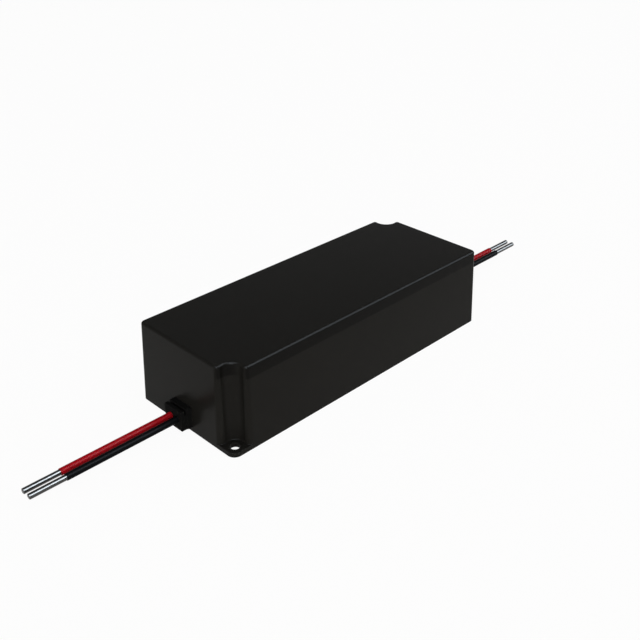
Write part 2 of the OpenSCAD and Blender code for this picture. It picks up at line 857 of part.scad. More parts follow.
module insulating_pad_2() {
    color([0.75, 0.75, 0.7]) insulating_pad(1);
}

module heat_sink_screws() {
    color([0.8, 0.8, 0.8]) for (x = transistor_at)
        translate([x, tab_y - tab_size[1], board_top + sink_screw_z]) rotate([-90, 0, 0]) {
            cylinder(d = screw_d, h = tab_size[1] + pad_t + sink_size[1]);
            translate([0, 0, -screw_head[1]]) difference() {
                cylinder(d = screw_head[0], h = screw_head[1]);
                for (a = [0, 90]) rotate([0, 0, a]) translate([-1.6, -0.35, -over])
                    cube([3.2, 0.7, over + 1]);
            }
        }
}

// A chip with n pins on each long side and a round notch at one end
module chip(at, size, n) {
    on_board(at) difference() {
        translate([-size[0] / 2, -size[1] / 2, 0.5]) cube(size);
        translate([-size[0] / 2, 0, size[2]]) cylinder(r = 0.8, h = over);
    }
    for (p = chip_pins(at, n)) {
        inward = p[1] > at[1] ? -1 : 1;
        translate([p[0] - 0.6, inward > 0 ? p[1] - 0.3 : at[1] + size[1] / 2 - 0.2, board_top + 1.6])
            cube([1.2, (chip_row - size[1]) / 2 + 0.5, 0.6]);
        translate([p[0] - 0.6, p[1] - 0.3, board_top]) cube([1.2, 0.6, 2]);
        pins([p], top = 0.6);
    }
}

module controller_chip() {
    color([0.1, 0.1, 0.1]) chip(chip_at, chip_size, 4);
}

module feedback_optocoupler() {
    color([0.1, 0.1, 0.1]) chip(opto_at, opto_size, 2);
}

// A quarter turn of round wire
module wire_bend(r, d) {
    rotate_extrude(angle = 90) translate([r, 0]) circle(d = d, $fn = 24);
}

module current_sense_resistor() {
    bend = 1.6;
    color([0.6, 0.5, 0.42]) {
        pins(sense_pins, sense_d, sense_h - bend);
        on_board(sense_at) for (s = [-1, 1]) translate([0, s * (sense_span / 2 - bend), sense_h - bend])
            rotate([0, -90, 0]) rotate([0, 0, s > 0 ? 0 : -90]) wire_bend(bend, sense_d);
        on_board(sense_at) translate([0, -sense_span / 2 + bend, sense_h]) rotate([-90, 0, 0])
            cylinder(d = sense_d, h = sense_span - 2 * bend, $fn = 24);
    }
}

module snubber_resistor() {
    r = resistor_size[0] / 2;
    l = resistor_size[1];
    wire_z = r + 0.3;
    bend = 1.2;
    color([0.55, 0.5, 0.4]) {
        on_board(snub_r_at) translate([-l / 2, 0, wire_z]) rotate([0, 90, 0]) rotate_extrude() {
            square([r - 0.3, l]);
            for (z = [0, l - 2.4]) translate([0, z]) square([r, 2.4]);
        }
        on_board(snub_r_at) for (s = [-1, 1]) translate([s * (resistor_pitch / 2 - bend), 0, wire_z])
            rotate([0, -s * 90, 0]) cylinder(d = pin_d, h = (resistor_pitch - l) / 2 - bend + 0.5, $fn = 24);
        on_board(snub_r_at) for (s = [-1, 1]) translate([s * (resistor_pitch / 2 - bend), 0, wire_z - bend])
            rotate([90, 0, 0]) rotate([0, 0, s > 0 ? 0 : 90]) wire_bend(bend, pin_d);
        pins(snub_r_pins, top = wire_z - bend);
    }
}

// The output choke: a ferrite drum with its winding in the waist
module output_choke_core() {
    color([0.2, 0.2, 0.21]) {
        on_board(choke_at) {
            cylinder(d = drum_post_d, h = drum_size[1]);
            for (z = [0, drum_size[1] - drum_flange]) translate([0, 0, z])
                cylinder(d = drum_size[0], h = drum_flange);
        }
        pins(choke_pins);
    }
}

module output_choke_winding() {
    color([0.7, 0.35, 0.15]) on_board(choke_at) translate([0, 0, drum_flange])
        coil(drum_post_d, drum_size[0] - 1, drum_size[1] - 2 * drum_flange, drum_wire);
}

// Everything that the potting compound has flowed round
module potted_pieces() {
    ribs();
    cover_posts();
    circuit_board();
    for (k = [0, 1]) at_end(k) relief_body();
    for (k = [0, 1], s = [-1, 1]) {
        at_end(k) lead_line(s, case_l / 2 - pad_in + strip_in, case_l / 2, lead_d);
        conductor(k, s);
    }
    input_fuse();
    surge_suppressor();
    input_film_capacitor();
    filter_choke_core();
    filter_choke_bobbin();
    for (s = [-1, 1]) filter_choke_winding(s);
    for (i = [0, 1]) {
        input_capacitor(i);
        package_solid(i);
        insulating_pad(i);
        transformer_core(i);
    }
    heat_sink();
    heat_sink_screws();
    transformer_bobbin();
    transformer_winding();
    chip(chip_at, chip_size, 4);
    chip(opto_at, opto_size, 2);
    current_sense_resistor();
    snubber_resistor();
    snubber_capacitor();
    safety_capacitor();
    output_choke_core();
    output_choke_winding();
    for (i = [0:2]) output_capacitor(i);
}

module potting_compound() {
    color([0.16, 0.16, 0.17]) difference() {
        case_inside();
        potted_pieces();
    }
}

case_shell();
base_cover();
potting_compound();
circuit_board();
input_strain_relief();
output_strain_relief();
input_positive_insulation();
input_negative_insulation();
output_positive_insulation();
output_negative_insulation();
input_positive_conductor();
input_negative_conductor();
output_positive_conductor();
output_negative_conductor();
input_fuse();
surge_suppressor();
input_film_capacitor();
filter_choke_core();
filter_choke_bobbin();
filter_choke_winding_1();
filter_choke_winding_2();
input_capacitor_1();
input_capacitor_2();
heat_sink();
switching_transistor();
rectifier_diode();
insulating_pad_1();
insulating_pad_2();
heat_sink_screws();
transformer_core_1();
transformer_core_2();
transformer_bobbin();
transformer_winding();
controller_chip();
feedback_optocoupler();
current_sense_resistor();
snubber_resistor();
snubber_capacitor();
safety_capacitor();
output_choke_core();
output_choke_winding();
output_capacitor_1();
output_capacitor_2();
output_capacitor_3();
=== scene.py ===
"""Visual model of a potted power supply in a moulded case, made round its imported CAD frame."""

import logging
import math
from dataclasses import dataclass, field
from enum import Enum
from typing import Any, Sequence

import bmesh
import bpy
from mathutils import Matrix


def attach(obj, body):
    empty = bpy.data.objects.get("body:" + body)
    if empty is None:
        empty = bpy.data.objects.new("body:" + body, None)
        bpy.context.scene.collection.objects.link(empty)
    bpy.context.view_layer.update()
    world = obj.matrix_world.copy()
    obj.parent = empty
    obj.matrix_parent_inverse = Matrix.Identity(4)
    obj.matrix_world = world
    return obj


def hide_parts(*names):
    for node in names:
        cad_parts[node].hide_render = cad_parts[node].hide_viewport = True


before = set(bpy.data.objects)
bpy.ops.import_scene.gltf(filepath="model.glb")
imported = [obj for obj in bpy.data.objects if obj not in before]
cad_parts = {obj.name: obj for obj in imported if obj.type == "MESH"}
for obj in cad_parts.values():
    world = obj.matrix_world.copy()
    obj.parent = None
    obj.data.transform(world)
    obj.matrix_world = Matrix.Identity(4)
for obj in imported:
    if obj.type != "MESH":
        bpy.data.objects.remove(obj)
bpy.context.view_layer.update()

LOG = logging.getLogger("power_supply")
MM = 0.001
# How far a cutting tool runs past what it cuts, in millimetres
PAST = 1.0

Point = tuple[float, float, float]
Flat = tuple[float, float]
Colour = tuple[float, float, float]


# Node trees


class Wire:
    """A socket whose operators add the Math nodes of an expression."""

    def __init__(self, bench: "Bench", socket: bpy.types.NodeSocket) -> None:
        """Wraps an output socket of a tree."""
        self.bench = bench
        self.socket = socket

    def math(self, operation: str, *others: Any) -> "Wire":
        """The result of a Math node whose inputs are this and the others, in order."""
        return self.bench.math(operation, self, *others)

    def __add__(self, other: Any) -> "Wire":
        """This plus another."""
        return self.math("ADD", other)

    def __radd__(self, other: Any) -> "Wire":
        """Another plus this."""
        return self.bench.math("ADD", other, self)

    def __sub__(self, other: Any) -> "Wire":
        """This less another."""
        return self.math("SUBTRACT", other)

    def __rsub__(self, other: Any) -> "Wire":
        """Another less this."""
        return self.bench.math("SUBTRACT", other, self)

    def __mul__(self, other: Any) -> "Wire":
        """This times another."""
        return self.math("MULTIPLY", other)

    def __rmul__(self, other: Any) -> "Wire":
        """Another times this."""
        return self.bench.math("MULTIPLY", other, self)

    def __truediv__(self, other: Any) -> "Wire":
        """This over another."""
        return self.math("DIVIDE", other)

    def least(self, other: Any) -> "Wire":
        """The smaller of this and another."""
        return self.math("MINIMUM", other)

    def most(self, other: Any) -> "Wire":
        """The larger of this and another."""
        return self.math("MAXIMUM", other)

    def cosine(self) -> "Wire":
        """The cosine of this."""
        return self.math("COSINE")

    def absolute(self) -> "Wire":
        """This without its sign."""
        return self.math("ABSOLUTE")

    def step(self, low: float, high: float) -> "Wire":
        """Runs smoothly from 0 at low to 1 at high.

        Args:
            low: where the step starts.
            high: where it ends.

        Returns:
            The smooth step.
        """
        values = {"Value": self, "From Min": low, "From Max": high}
        made = self.bench.node("ShaderNodeMapRange", {"interpolation_type": "SMOOTHSTEP"}, values)
        return Wire(self.bench, made.outputs[0])


class Bench:
    """A node tree in the making."""

    def __init__(self, tree: bpy.types.NodeTree) -> None:
        """Starts on the tree that gets the nodes."""
        self.tree = tree

    def node(self, kind: str, settings: dict[str, Any] | None = None,
             values: dict[int | str, Any] | None = None) -> bpy.types.Node:
        """Adds a node.

        Args:
            kind: the node's type.
            settings: its properties, set first.
            values: what its inputs get, a number, a colour, a wire or a socket.

        Returns:
            The node.
        """
        made = self.tree.nodes.new(kind)
        for key, value in (settings or {}).items():
            setattr(made, key, value)
        for key, value in (values or {}).items():
            self.feed(made.inputs[key], value)
        return made

    def math(self, operation: str, *terms: Any) -> Wire:
        """The result of a Math node whose inputs are the terms, wires or numbers in order."""
        made = self.node("ShaderNodeMath", {"operation": operation}, dict(enumerate(terms)))
        return Wire(self, made.outputs[0])

    def feed(self, socket: bpy.types.NodeSocket, value: Any) -> None:
        """Gives an input its value or its link.

        Args:
            socket: the input.
            value: a number, a colour, a vector, a wire or a socket.
        """
        if isinstance(value, Wire):
            value = value.socket
        if isinstance(value, bpy.types.NodeSocket):
            self.tree.links.new(value, socket)
        elif socket.type == "RGBA" and len(value) == 3:
            socket.default_value = (*value, 1.0)
        else:
            socket.default_value = value


class Recipe(Bench):
    """A material in the making. Its patterns are in metres, on the piece's own coordinates."""

    def __init__(self, name: str) -> None:
        """Starts an empty material.

        Args:
            name: the material's name.
        """
        self.material = bpy.data.materials.new(name)
        self.material.use_nodes = True
        super().__init__(self.material.node_tree)
        self.tree.nodes.clear()
        self.place = self.node("ShaderNodeTexCoord").outputs["Object"]

    def axis(self, index: int) -> Wire:
        """One coordinate of the place, 0 for X, 1 for Y, 2 for Z."""
        split = self.node("ShaderNodeSeparateXYZ", None, {0: self.place})
        return Wire(self, split.outputs[index])

    def facing(self, index: int) -> Wire:
        """One part of the surface's own direction, 0 for X, 1 for Y, 2 for Z."""
        turned = self.node("ShaderNodeTexCoord").outputs["Normal"]
        return Wire(self, self.node("ShaderNodeSeparateXYZ", None, {0: turned}).outputs[index])

    def grain(self, size: float, detail: float = 2.0, stretch: Point = (1, 1, 1)) -> Wire:
        """A noise.

        Args:
            size: the size of its features in metres.
            detail: how many finer layers it has.
            stretch: how much finer it is along each axis.

        Returns:
            The noise, about 0.5.
        """
        scale = tuple(part / size for part in stretch)
        scaled = self.node("ShaderNodeVectorMath", {"operation": "MULTIPLY"}, {0: self.place, 1: scale})
        made = self.node("ShaderNodeTexNoise", None, {
            "Vector": scaled.outputs[0], "Scale": 1.0, "Detail": detail})
        return Wire(self, made.outputs[0])

    def specks(self, size: float) -> Wire:
        """Distance to the nearest of scattered points that lie about size metres apart."""
        made = self.node("ShaderNodeTexVoronoi", None, {"Vector": self.place, "Scale": 1 / size})
        return Wire(self, made.outputs[0])

    def mix(self, factor: Wire, low: Any, high: Any) -> bpy.types.NodeSocket:
        """A colour that runs from low to high with the factor."""
        return self.node("ShaderNodeMix", {"data_type": "RGBA"}, {0: factor, 6: low, 7: high}).outputs[2]

    def shades(self, factor: Wire, colour: Colour, spread: float) -> bpy.types.NodeSocket:
        """A colour that varies a little with the factor.

        Args:
            factor: what it varies with, from 0 to 1.
            colour: the colour in the middle.
            spread: by what share it is darker at 0 and lighter at 1.

        Returns:
            The colour.
        """
        low = tuple(part * (1 - spread) for part in colour)
        high = tuple(part * (1 + spread) for part in colour)
        return self.mix(factor, low, high)

    def relief(self, height: Wire, depth: float, under: Any = None) -> bpy.types.NodeSocket:
        """A fine relief.

        Args:
            height: its height, from 0 to 1.
            depth: its depth in metres.
            under: another relief that it lies on.

        Returns:
            The normal.
        """
        values: dict[int | str, Any] = {"Strength": 1.0, "Distance": depth, "Height": height}
        if under is not None:
            values["Normal"] = under
        return self.node("ShaderNodeBump", None, values).outputs[0]

    def surface(self, values: dict[int | str, Any]) -> None:
        """Ends the material in a principled surface with these values."""
        shader = self.node("ShaderNodeBsdfPrincipled", None, values)
        self.node("ShaderNodeOutputMaterial", None, {"Surface": shader.outputs[0]})


class Growth(Bench):
    """A Geometry Nodes tree in the making, with named inputs."""

    def __init__(self, name: str) -> None:
        """Starts a tree that takes a geometry and gives one.

        Args:
            name: the tree's name.
        """
        super().__init__(bpy.data.node_groups.new(name, "GeometryNodeTree"))
        self.sizes: dict[str, str] = {}
        self.tree.interface.new_socket("Geometry", in_out="INPUT", socket_type="NodeSocketGeometry")
        self.tree.interface.new_socket("Geometry", in_out="OUTPUT", socket_type="NodeSocketGeometry")
        self.entry = self.node("NodeGroupInput")
        self.start = self.entry.outputs[0]

    def size(self, name: str, kind: str = "Float") -> Wire:
        """Adds a named input.

        Args:
            name: the input's name.
            kind: the kind of its socket.

        Returns:
            The input, as a wire.
        """
        made = self.tree.interface.new_socket(name, in_out="INPUT", socket_type=f"NodeSocket{kind}")
        self.sizes[name] = made.identifier
        found = next(s for s in self.entry.outputs if s.identifier == made.identifier)
        return Wire(self, found)

    def close(self, geometry: bpy.types.NodeSocket, material: bpy.types.Material) -> None:
        """Ends the tree.

        Args:
            geometry: what it has grown.
            material: the finish that it gets.
        """
        real = self.node("GeometryNodeRealizeInstances", None, {0: geometry})
        dressed = self.node("GeometryNodeSetMaterial", None, {
            "Geometry": real.outputs[0], "Material": material})
        self.node("NodeGroupOutput", None, {0: dressed.outputs[0]})

    def grow(self, piece: bpy.types.Object, sizes: dict[str, Any]) -> bpy.types.Object:
        """Runs the tree on a piece, which keeps the result as a plain mesh.

        Args:
            piece: the piece whose mesh the tree starts from.
            sizes: what each named input gets.

        Returns:
            The piece.
        """
        modifier = piece.modifiers.new(self.tree.name, "NODES")
        modifier.node_group = self.tree
        for name, value in sizes.items():
            modifier[self.sizes[name]] = value
        return settle(piece)


# Finishes


@dataclass(frozen=True)
class Finish:
    """What every finish has."""

    name: str
    colour: Colour

    def dress(self, recipe: Recipe) -> None:
        """Adds the finish's nodes to a recipe."""
        raise NotImplementedError

    def material(self) -> bpy.types.Material:
        """Makes the finish's material.

        Returns:
            The material.
        """
        recipe = Recipe(self.name)
        self.dress(recipe)
        return recipe.material


@dataclass(frozen=True)
class CasePlastic(Finish):
    """Satin black moulding: faint tone, a fine spark-eroded grain, and painted shade, a darker base colour in
    a band under the top edge of the long sides, standing in for a reflection.
    """

    roughness: float = 0.23
    level: float = 0.028
    patch: float = 0.018
    grain: float = 0.00032
    depth: float = 0.0000009
    # Painted shade band: the height where it starts in millimetres, its blur, and how far it darkens the base
    # colour
    painted_band_from: float = 31.5
    painted_band_blur: float = 0.35
    painted_band_shade: float = 0.5

    def dress(self, recipe: Recipe) -> None:
        """Adds the case's tone, the painted shade band and the grain.

        Args:
            recipe: the material that gets the nodes.
        """
        # Painted shade: on faces that look along Y, the base colour is darker from a set height up to the top
        # edge, standing in for a reflection, not a change of finish
        side = recipe.facing(1).absolute().step(0.1, 0.9)
        low, high = self.painted_band_from - self.painted_band_blur, self.painted_band_from + self.painted_band_blur
        band = recipe.axis(2).step(low * MM, high * MM) * side
        plain = recipe.shades(recipe.grain(self.patch), self.colour, 0.06)
        # The painted shade colour: the case's colour darkened for the band
        dark = tuple(part * self.painted_band_shade for part in self.colour)
        recipe.surface({
            "Base Color": recipe.mix(band, plain, dark),
            "Roughness": self.roughness + 0.05 * recipe.grain(0.006),
            "Specular IOR Level": self.level,
            "Normal": recipe.relief(recipe.grain(self.grain, 3), self.depth),
        })


@dataclass(frozen=True)
class Moulded(Finish):
    """Plain moulded plastic with a fine grain and a faint change of tone."""

    roughness: float = 0.5
    level: float = 0.3
    grain: float = 0.0005
    depth: float = 0.000003

    def dress(self, recipe: Recipe) -> None:
        """Adds the tone and the grain.

        Args:
            recipe: the material that gets the nodes.
        """
        recipe.surface({
            "Base Color": recipe.shades(recipe.grain(0.005), self.colour, 0.08),
            "Roughness": self.roughness - 0.06 + 0.12 * recipe.grain(0.003),
            "Specular IOR Level": self.level,
            "Normal": recipe.relief(recipe.grain(self.grain, 3), self.depth),
        })


@dataclass(frozen=True)
class Extruded(Finish):
    """Lead insulation: smooth, with faint draw lines along the lead and a slow waver."""

    roughness: float = 0.3
    level: float = 0.4
    coat: float = 0.0

    def dress(self, recipe: Recipe) -> None:
        """Adds the tone, the draw lines and the waver.

        Args:
            recipe: the material that gets the nodes.
        """
        lines = recipe.grain(0.0011, 2, (0.03, 1, 1))
        waver = recipe.relief(recipe.grain(0.006), 0.000006)
        recipe.surface({
            "Base Color": recipe.shades(lines, self.colour, 0.1),
            "Roughness": self.roughness - 0.05 + 0.1 * recipe.grain(0.002, 2, (0.2, 1, 1)),
            "Specular IOR Level": self.level,
            "Coat Weight": self.coat,
            "Coat Roughness": 0.25,
            "Normal": recipe.relief(lines, 0.000001, waver),
        })


@dataclass(frozen=True)
class Tinned(Finish):
    """Tinned strands: bright metal, mottled by the solder, with fine draw lines."""

    roughness: float = 0.16

    def dress(self, recipe: Recipe) -> None:
        """Adds the solder's mottle and its fine draw lines.

        Args:
            recipe: the material that gets the nodes.
        """
        mottle = recipe.grain(0.0012, 3, (0.25, 1, 1))
        lines = recipe.grain(0.0003, 2, (0.02, 1, 1))
        recipe.surface({
            "Base Color": recipe.shades(mottle, self.colour, 0.12),
            "Metallic": 1.0,
            "Roughness": self.roughness + 0.08 * mottle,
            "Normal": recipe.relief(lines, 0.0000015),
        })


@dataclass(frozen=True)
class Drawn(Finish):
    """Bare metal with fine marks along one axis."""

    roughness: float = 0.35
    along: Point = (1, 1, 0.04)
    size: float = 0.0004

    def dress(self, recipe: Recipe) -> None:
        """Adds the marks.

        Args:
            recipe: the material that gets the nodes.
        """
        marks = recipe.grain(self.size, 3, self.along)
        recipe.surface({
            "Base Color": recipe.shades(marks, self.colour, 0.1),
            "Metallic": 1.0,
            "Roughness": self.roughness - 0.08 + 0.16 * marks,
            "Normal": recipe.relief(marks, 0.000004),
        })


@dataclass(frozen=True)
class Sintered(Finish):
    """Ground ferrite: dull, dark and finely speckled."""

    def dress(self, recipe: Recipe) -> None:
        """Adds the speckle and the grinding marks.

        Args:
            recipe: the material that gets the nodes.
        """
        specks = recipe.specks(0.00035)
        marks = recipe.grain(0.0003, 3, (0.1, 1, 1))
        recipe.surface({
            "Base Color": recipe.shades(specks, self.colour, 0.3),
            "Roughness": 0.55 + 0.2 * recipe.grain(0.001),
            "Normal": recipe.relief(marks, 0.000005),
        })


@dataclass(frozen=True)
class Dipped(Finish):
    """A dipped lacquer body: glossy, with the slow runs of the dip."""

    coat: float = 0.5

    def dress(self, recipe: Recipe) -> None:
        """Adds the runs and the tone.

        Args:
            recipe: the material that gets the nodes.
        """
        recipe.surface({
            "Base Color": recipe.shades(recipe.grain(0.003), self.colour, 0.12),
            "Roughness": 0.32 + 0.1 * recipe.grain(0.001),
            "Coat Weight": self.coat,
            "Coat Roughness": 0.15,
            "Normal": recipe.relief(recipe.grain(0.0025, 2, (1, 1, 0.5)), 0.00006),
        })


@dataclass(frozen=True)
class Banded(Dipped):
    """A dipped resistor body with four plain colour bands across its length."""

    bands: tuple[tuple[float, Colour], ...] = ()
    width: float = 0.9

    def dress(self, recipe: Recipe) -> None:
        """Adds the bands over the lacquer.

        Args:
            recipe: the material that gets the nodes.
        """
        along = recipe.axis(0)
        tone = recipe.shades(recipe.grain(0.003), self.colour, 0.1)
        for middle, colour in self.bands:
            off = (along - middle * MM).absolute()
            tone = recipe.mix(1 - off.step(0.42 * self.width * MM, 0.5 * self.width * MM), tone, colour)
        recipe.surface({
            "Base Color": tone,
            "Roughness": 0.3 + 0.1 * recipe.grain(0.001),
            "Coat Weight": self.coat,
            "Coat Roughness": 0.15,
            "Normal": recipe.relief(recipe.grain(0.002), 0.00003),
        })


@dataclass(frozen=True)
class Sleeved(Finish):
    """A capacitor in its shrunk sleeve, with the bare metal of the can on top."""

    top: float = 30.0

    def dress(self, recipe: Recipe) -> None:
        """Adds the sleeve's gloss and the bare top.

        Args:
            recipe: the material that gets the nodes.
        """
        bare = recipe.axis(2).step((self.top - 0.55) * MM, (self.top - 0.5) * MM)
        tone = recipe.shades(recipe.grain(0.004), self.colour, 0.15)
        recipe.surface({
            "Base Color": recipe.mix(bare, tone, (0.7, 0.71, 0.72)),
            "Metallic": bare,
            "Roughness": 0.3 + 0.12 * recipe.grain(0.001),
            "Normal": recipe.relief(recipe.grain(0.003, 2, (1, 1, 0.15)), 0.00003),
        })


@dataclass(frozen=True)
class Enamelled(Finish):
    """Enamelled copper wire: copper under a clear amber coat."""

    def dress(self, recipe: Recipe) -> None:
        """Adds the copper's tone and the enamel.

        Args:
            recipe: the material that gets the nodes.
        """
        recipe.surface({
            "Base Color": recipe.shades(recipe.grain(0.0015, 3), self.colour, 0.2),
            "Metallic": 0.85,
            "Roughness": 0.25 + 0.15 * recipe.grain(0.001),
            "Coat Weight": 0.8,
            "Coat Roughness": 0.1,
            "Normal": recipe.relief(recipe.grain(0.0012), 0.00001),
        })


@dataclass(frozen=True)
class Laminate(Finish):
    """Circuit board: solder mask over a faint weave, with broad lighter copper areas under it."""

    thread: float = 0.0008

    def dress(self, recipe: Recipe) -> None:
        """Adds the weave and the copper that shows through.

        Args:
            recipe: the material that gets the nodes.
        """
        turn = 2 * math.pi / self.thread
        weave = 0.5 + 0.25 * (recipe.axis(0) * turn).cosine() + 0.25 * (recipe.axis(1) * turn).cosine()
        copper = recipe.grain(0.014, 0).step(0.5, 0.515)
        light = tuple(part * 1.7 for part in self.colour)
        tone = recipe.mix(copper, recipe.shades(weave, self.colour, 0.12), light)
        recipe.surface({
            "Base Color": tone,
            "Roughness": 0.3 + 0.1 * weave,
            "Coat Weight": 0.3,
            "Normal": recipe.relief(copper, 0.000035, recipe.relief(weave, 0.000006)),
        })


@dataclass(frozen=True)
class Cast(Finish):
    """Cast resin: smooth dark filler with slow waves and a few small pits."""

    def dress(self, recipe: Recipe) -> None:
        """Adds the waves and the pits.

        Args:
            recipe: the material that gets the nodes.
        """
        pits = recipe.specks(0.004).step(0.03, 0.07)
        waves = recipe.relief(recipe.grain(0.012), 0.0003)
        recipe.surface({
            "Base Color": recipe.shades(recipe.grain(0.006), self.colour, 0.12),
            "Roughness": 0.45 + 0.15 * recipe.grain(0.002),
            "Specular IOR Level": 0.3,
            "Normal": recipe.relief(pits, 0.00005, waves),
        })


class Dresser:
    """Makes each finish once and gives it out by its slot's name."""

    def __init__(self, finishes: Sequence[Finish]) -> None:
        """Makes the finishes' materials, each named for its slot."""
        self.materials = {finish.name: finish.material() for finish in finishes}

    def dress(self, piece: bpy.types.Object, slot: str) -> None:
        """Gives a piece one finish.

        Args:
            piece: the piece, or a CAD node's object.
            slot: the finish's name.
        """
        material = self.materials[slot]
        if not piece.material_slots:
            piece.data.materials.append(material)
        for place in piece.material_slots:
            place.material = material

    def hand_in(self, piece: bpy.types.Object, slot: str, *nodes: str) -> bpy.types.Object:
        """Dresses a made piece and puts it in the frame.

        Args:
            piece: the piece.
            slot: the finish's name.
            nodes: the CAD nodes that it stands for.

        Returns:
            The piece.
        """
        self.dress(piece, slot)
        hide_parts(*nodes)
        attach(piece, "root")
        LOG.info("%s: %d faces, stands for %s", piece.name, len(piece.data.polygons), ", ".join(nodes))
        return piece


FINISHES: tuple[Finish, ...] = (
    CasePlastic("case_plastic", (0.0108, 0.0103, 0.0091)),
    Moulded("cover_plastic", (0.014, 0.014, 0.0145), roughness=0.55, level=0.15),
    Cast("potting", (0.03, 0.03, 0.032)),
    Laminate("board_laminate", (0.02, 0.14, 0.05)),
    Moulded("relief_rubber", (0.0072, 0.0072, 0.007), roughness=0.28, level=0.0015,
            grain=0.0004, depth=0.0000006),
    Extruded("red_insulation", (0.34, 0.004, 0.009), level=0.025),
    Extruded("black_insulation", (0.0036, 0.0039, 0.0046), level=0.016),
    Tinned("tinned_copper", (0.062, 0.061, 0.059)),
    Moulded("fuse_body", (0.09, 0.04, 0.02)),
    Dipped("blue_dip", (0.02, 0.08, 0.3)),
    Moulded("film_box", (0.6, 0.38, 0.02), roughness=0.3, level=0.5),
    Sintered("ferrite", (0.05, 0.05, 0.052)),
    Moulded("bobbin_plastic", (0.62, 0.58, 0.45)),
    Moulded("black_bobbin", (0.02, 0.02, 0.02)),
    Enamelled("enamelled_copper", (0.6, 0.2, 0.07)),
    Extruded("winding_tape", (0.65, 0.42, 0.02), roughness=0.2, level=0.5, coat=0.4),
    Sleeved("capacitor_sleeve", (0.012, 0.014, 0.03), top=30.2),
    Drawn("heat_sink_metal", (0.6, 0.61, 0.63), roughness=0.4),
    Moulded("package_plastic", (0.015, 0.015, 0.015), roughness=0.6, grain=0.0002, depth=0.000004),
    Moulded("pad_silicone", (0.5, 0.5, 0.46), roughness=0.7, level=0.2),
    Drawn("screw_steel", (0.6, 0.6, 0.6), roughness=0.3, along=(1, 1, 1), size=0.0006),
    Banded("resistor_coat", (0.45, 0.35, 0.2), bands=(
        (22.4, (0.25, 0.09, 0.03)),
        (24.2, (0.01, 0.01, 0.01)),
        (26.0, (0.5, 0.03, 0.02)),
        (28.4, (0.55, 0.38, 0.08)),
    )),
    Drawn("resistance_wire", (0.35, 0.3, 0.26), along=(1, 0.1, 1)),
)

# The finish of each CAD node that stays as it is
NODE_FINISHES: dict[str, str] = {
    "base_cover": "cover_plastic",
    "potting_compound": "potting",
    "circuit_board": "board_laminate",
    "input_fuse": "fuse_body",
    "surge_suppressor": "blue_dip",
    "input_film_capacitor": "film_box",
    "filter_choke_core": "ferrite",
    "filter_choke_bobbin": "bobbin_plastic",
    "filter_choke_winding_1": "enamelled_copper",
    "filter_choke_winding_2": "enamelled_copper",
    "input_capacitor_1": "capacitor_sleeve",
    "input_capacitor_2": "capacitor_sleeve",
    "heat_sink": "heat_sink_metal",
    "switching_transistor": "package_plastic",
    "rectifier_diode": "package_plastic",
    "insulating_pad_1": "pad_silicone",
    "insulating_pad_2": "pad_silicone",
    "heat_sink_screws": "screw_steel",
    "transformer_core_1": "ferrite",
    "transformer_core_2": "ferrite",
    "transformer_bobbin": "black_bobbin",
    "transformer_winding": "winding_tape",
    "controller_chip": "package_plastic",
    "feedback_optocoupler": "package_plastic",
    "current_sense_resistor": "resistance_wire",
    "snubber_resistor": "resistor_coat",
    "snubber_capacitor": "blue_dip",
    "safety_capacitor": "blue_dip",
    "output_choke_core": "ferrite",
    "output_choke_winding": "enamelled_copper",
    "output_capacitor_1": "capacitor_sleeve",
    "output_capacitor_2": "capacitor_sleeve",
    "output_capacitor_3": "capacitor_sleeve",
}


# Meshes


def settle(piece: bpy.types.Object) -> bpy.types.Object:
    """Turns a piece's modifiers into its own plain mesh.

    Args:
        piece: the piece.

    Returns:
        The piece, without modifiers.
    """
    graph = bpy.context.evaluated_depsgraph_get()
    mesh = bpy.data.meshes.new_from_object(piece.evaluated_get(graph))
    piece.modifiers.clear()
    old = piece.data
    piece.data = mesh
    mesh.name = piece.name
    bpy.data.meshes.remove(old)
    return piece


def shade(piece: bpy.types.Object, limit: float = 32.0) -> bpy.types.Object:
    """Shades a piece smooth between its sharp edges, and keeps its flats flat.

    Args:
        piece: the piece.
        limit: the angle in degrees from which an edge is sharp.

    Returns:
        The piece.
    """
    work = bmesh.new()
    work.from_mesh(piece.data)
    for face in work.faces:
        face.smooth = True
    for edge in work.edges:
        edge.smooth = not (len(edge.link_faces) == 2 and edge.calc_face_angle(0) > math.radians(limit))
    work.to_mesh(piece.data)
    work.free()
    weighted = piece.modifiers.new("flats", "WEIGHTED_NORMAL")
    weighted.keep_sharp = True
    weighted.weight = 100
    return settle(piece)


def cut(body: bpy.types.Object, tool: bpy.types.Object) -> None:
    """Cuts a tool out of a body and removes the tool.

    Args:
        body: the piece that is cut.
        tool: what is cut out of it.
    """
    modifier = body.modifiers.new("cut", "BOOLEAN")
    modifier.operation = "DIFFERENCE"
    modifier.solver = "EXACT"
    modifier.object = tool
    settle(body)
    spare = tool.data
    bpy.data.objects.remove(tool)
    bpy.data.meshes.remove(spare)


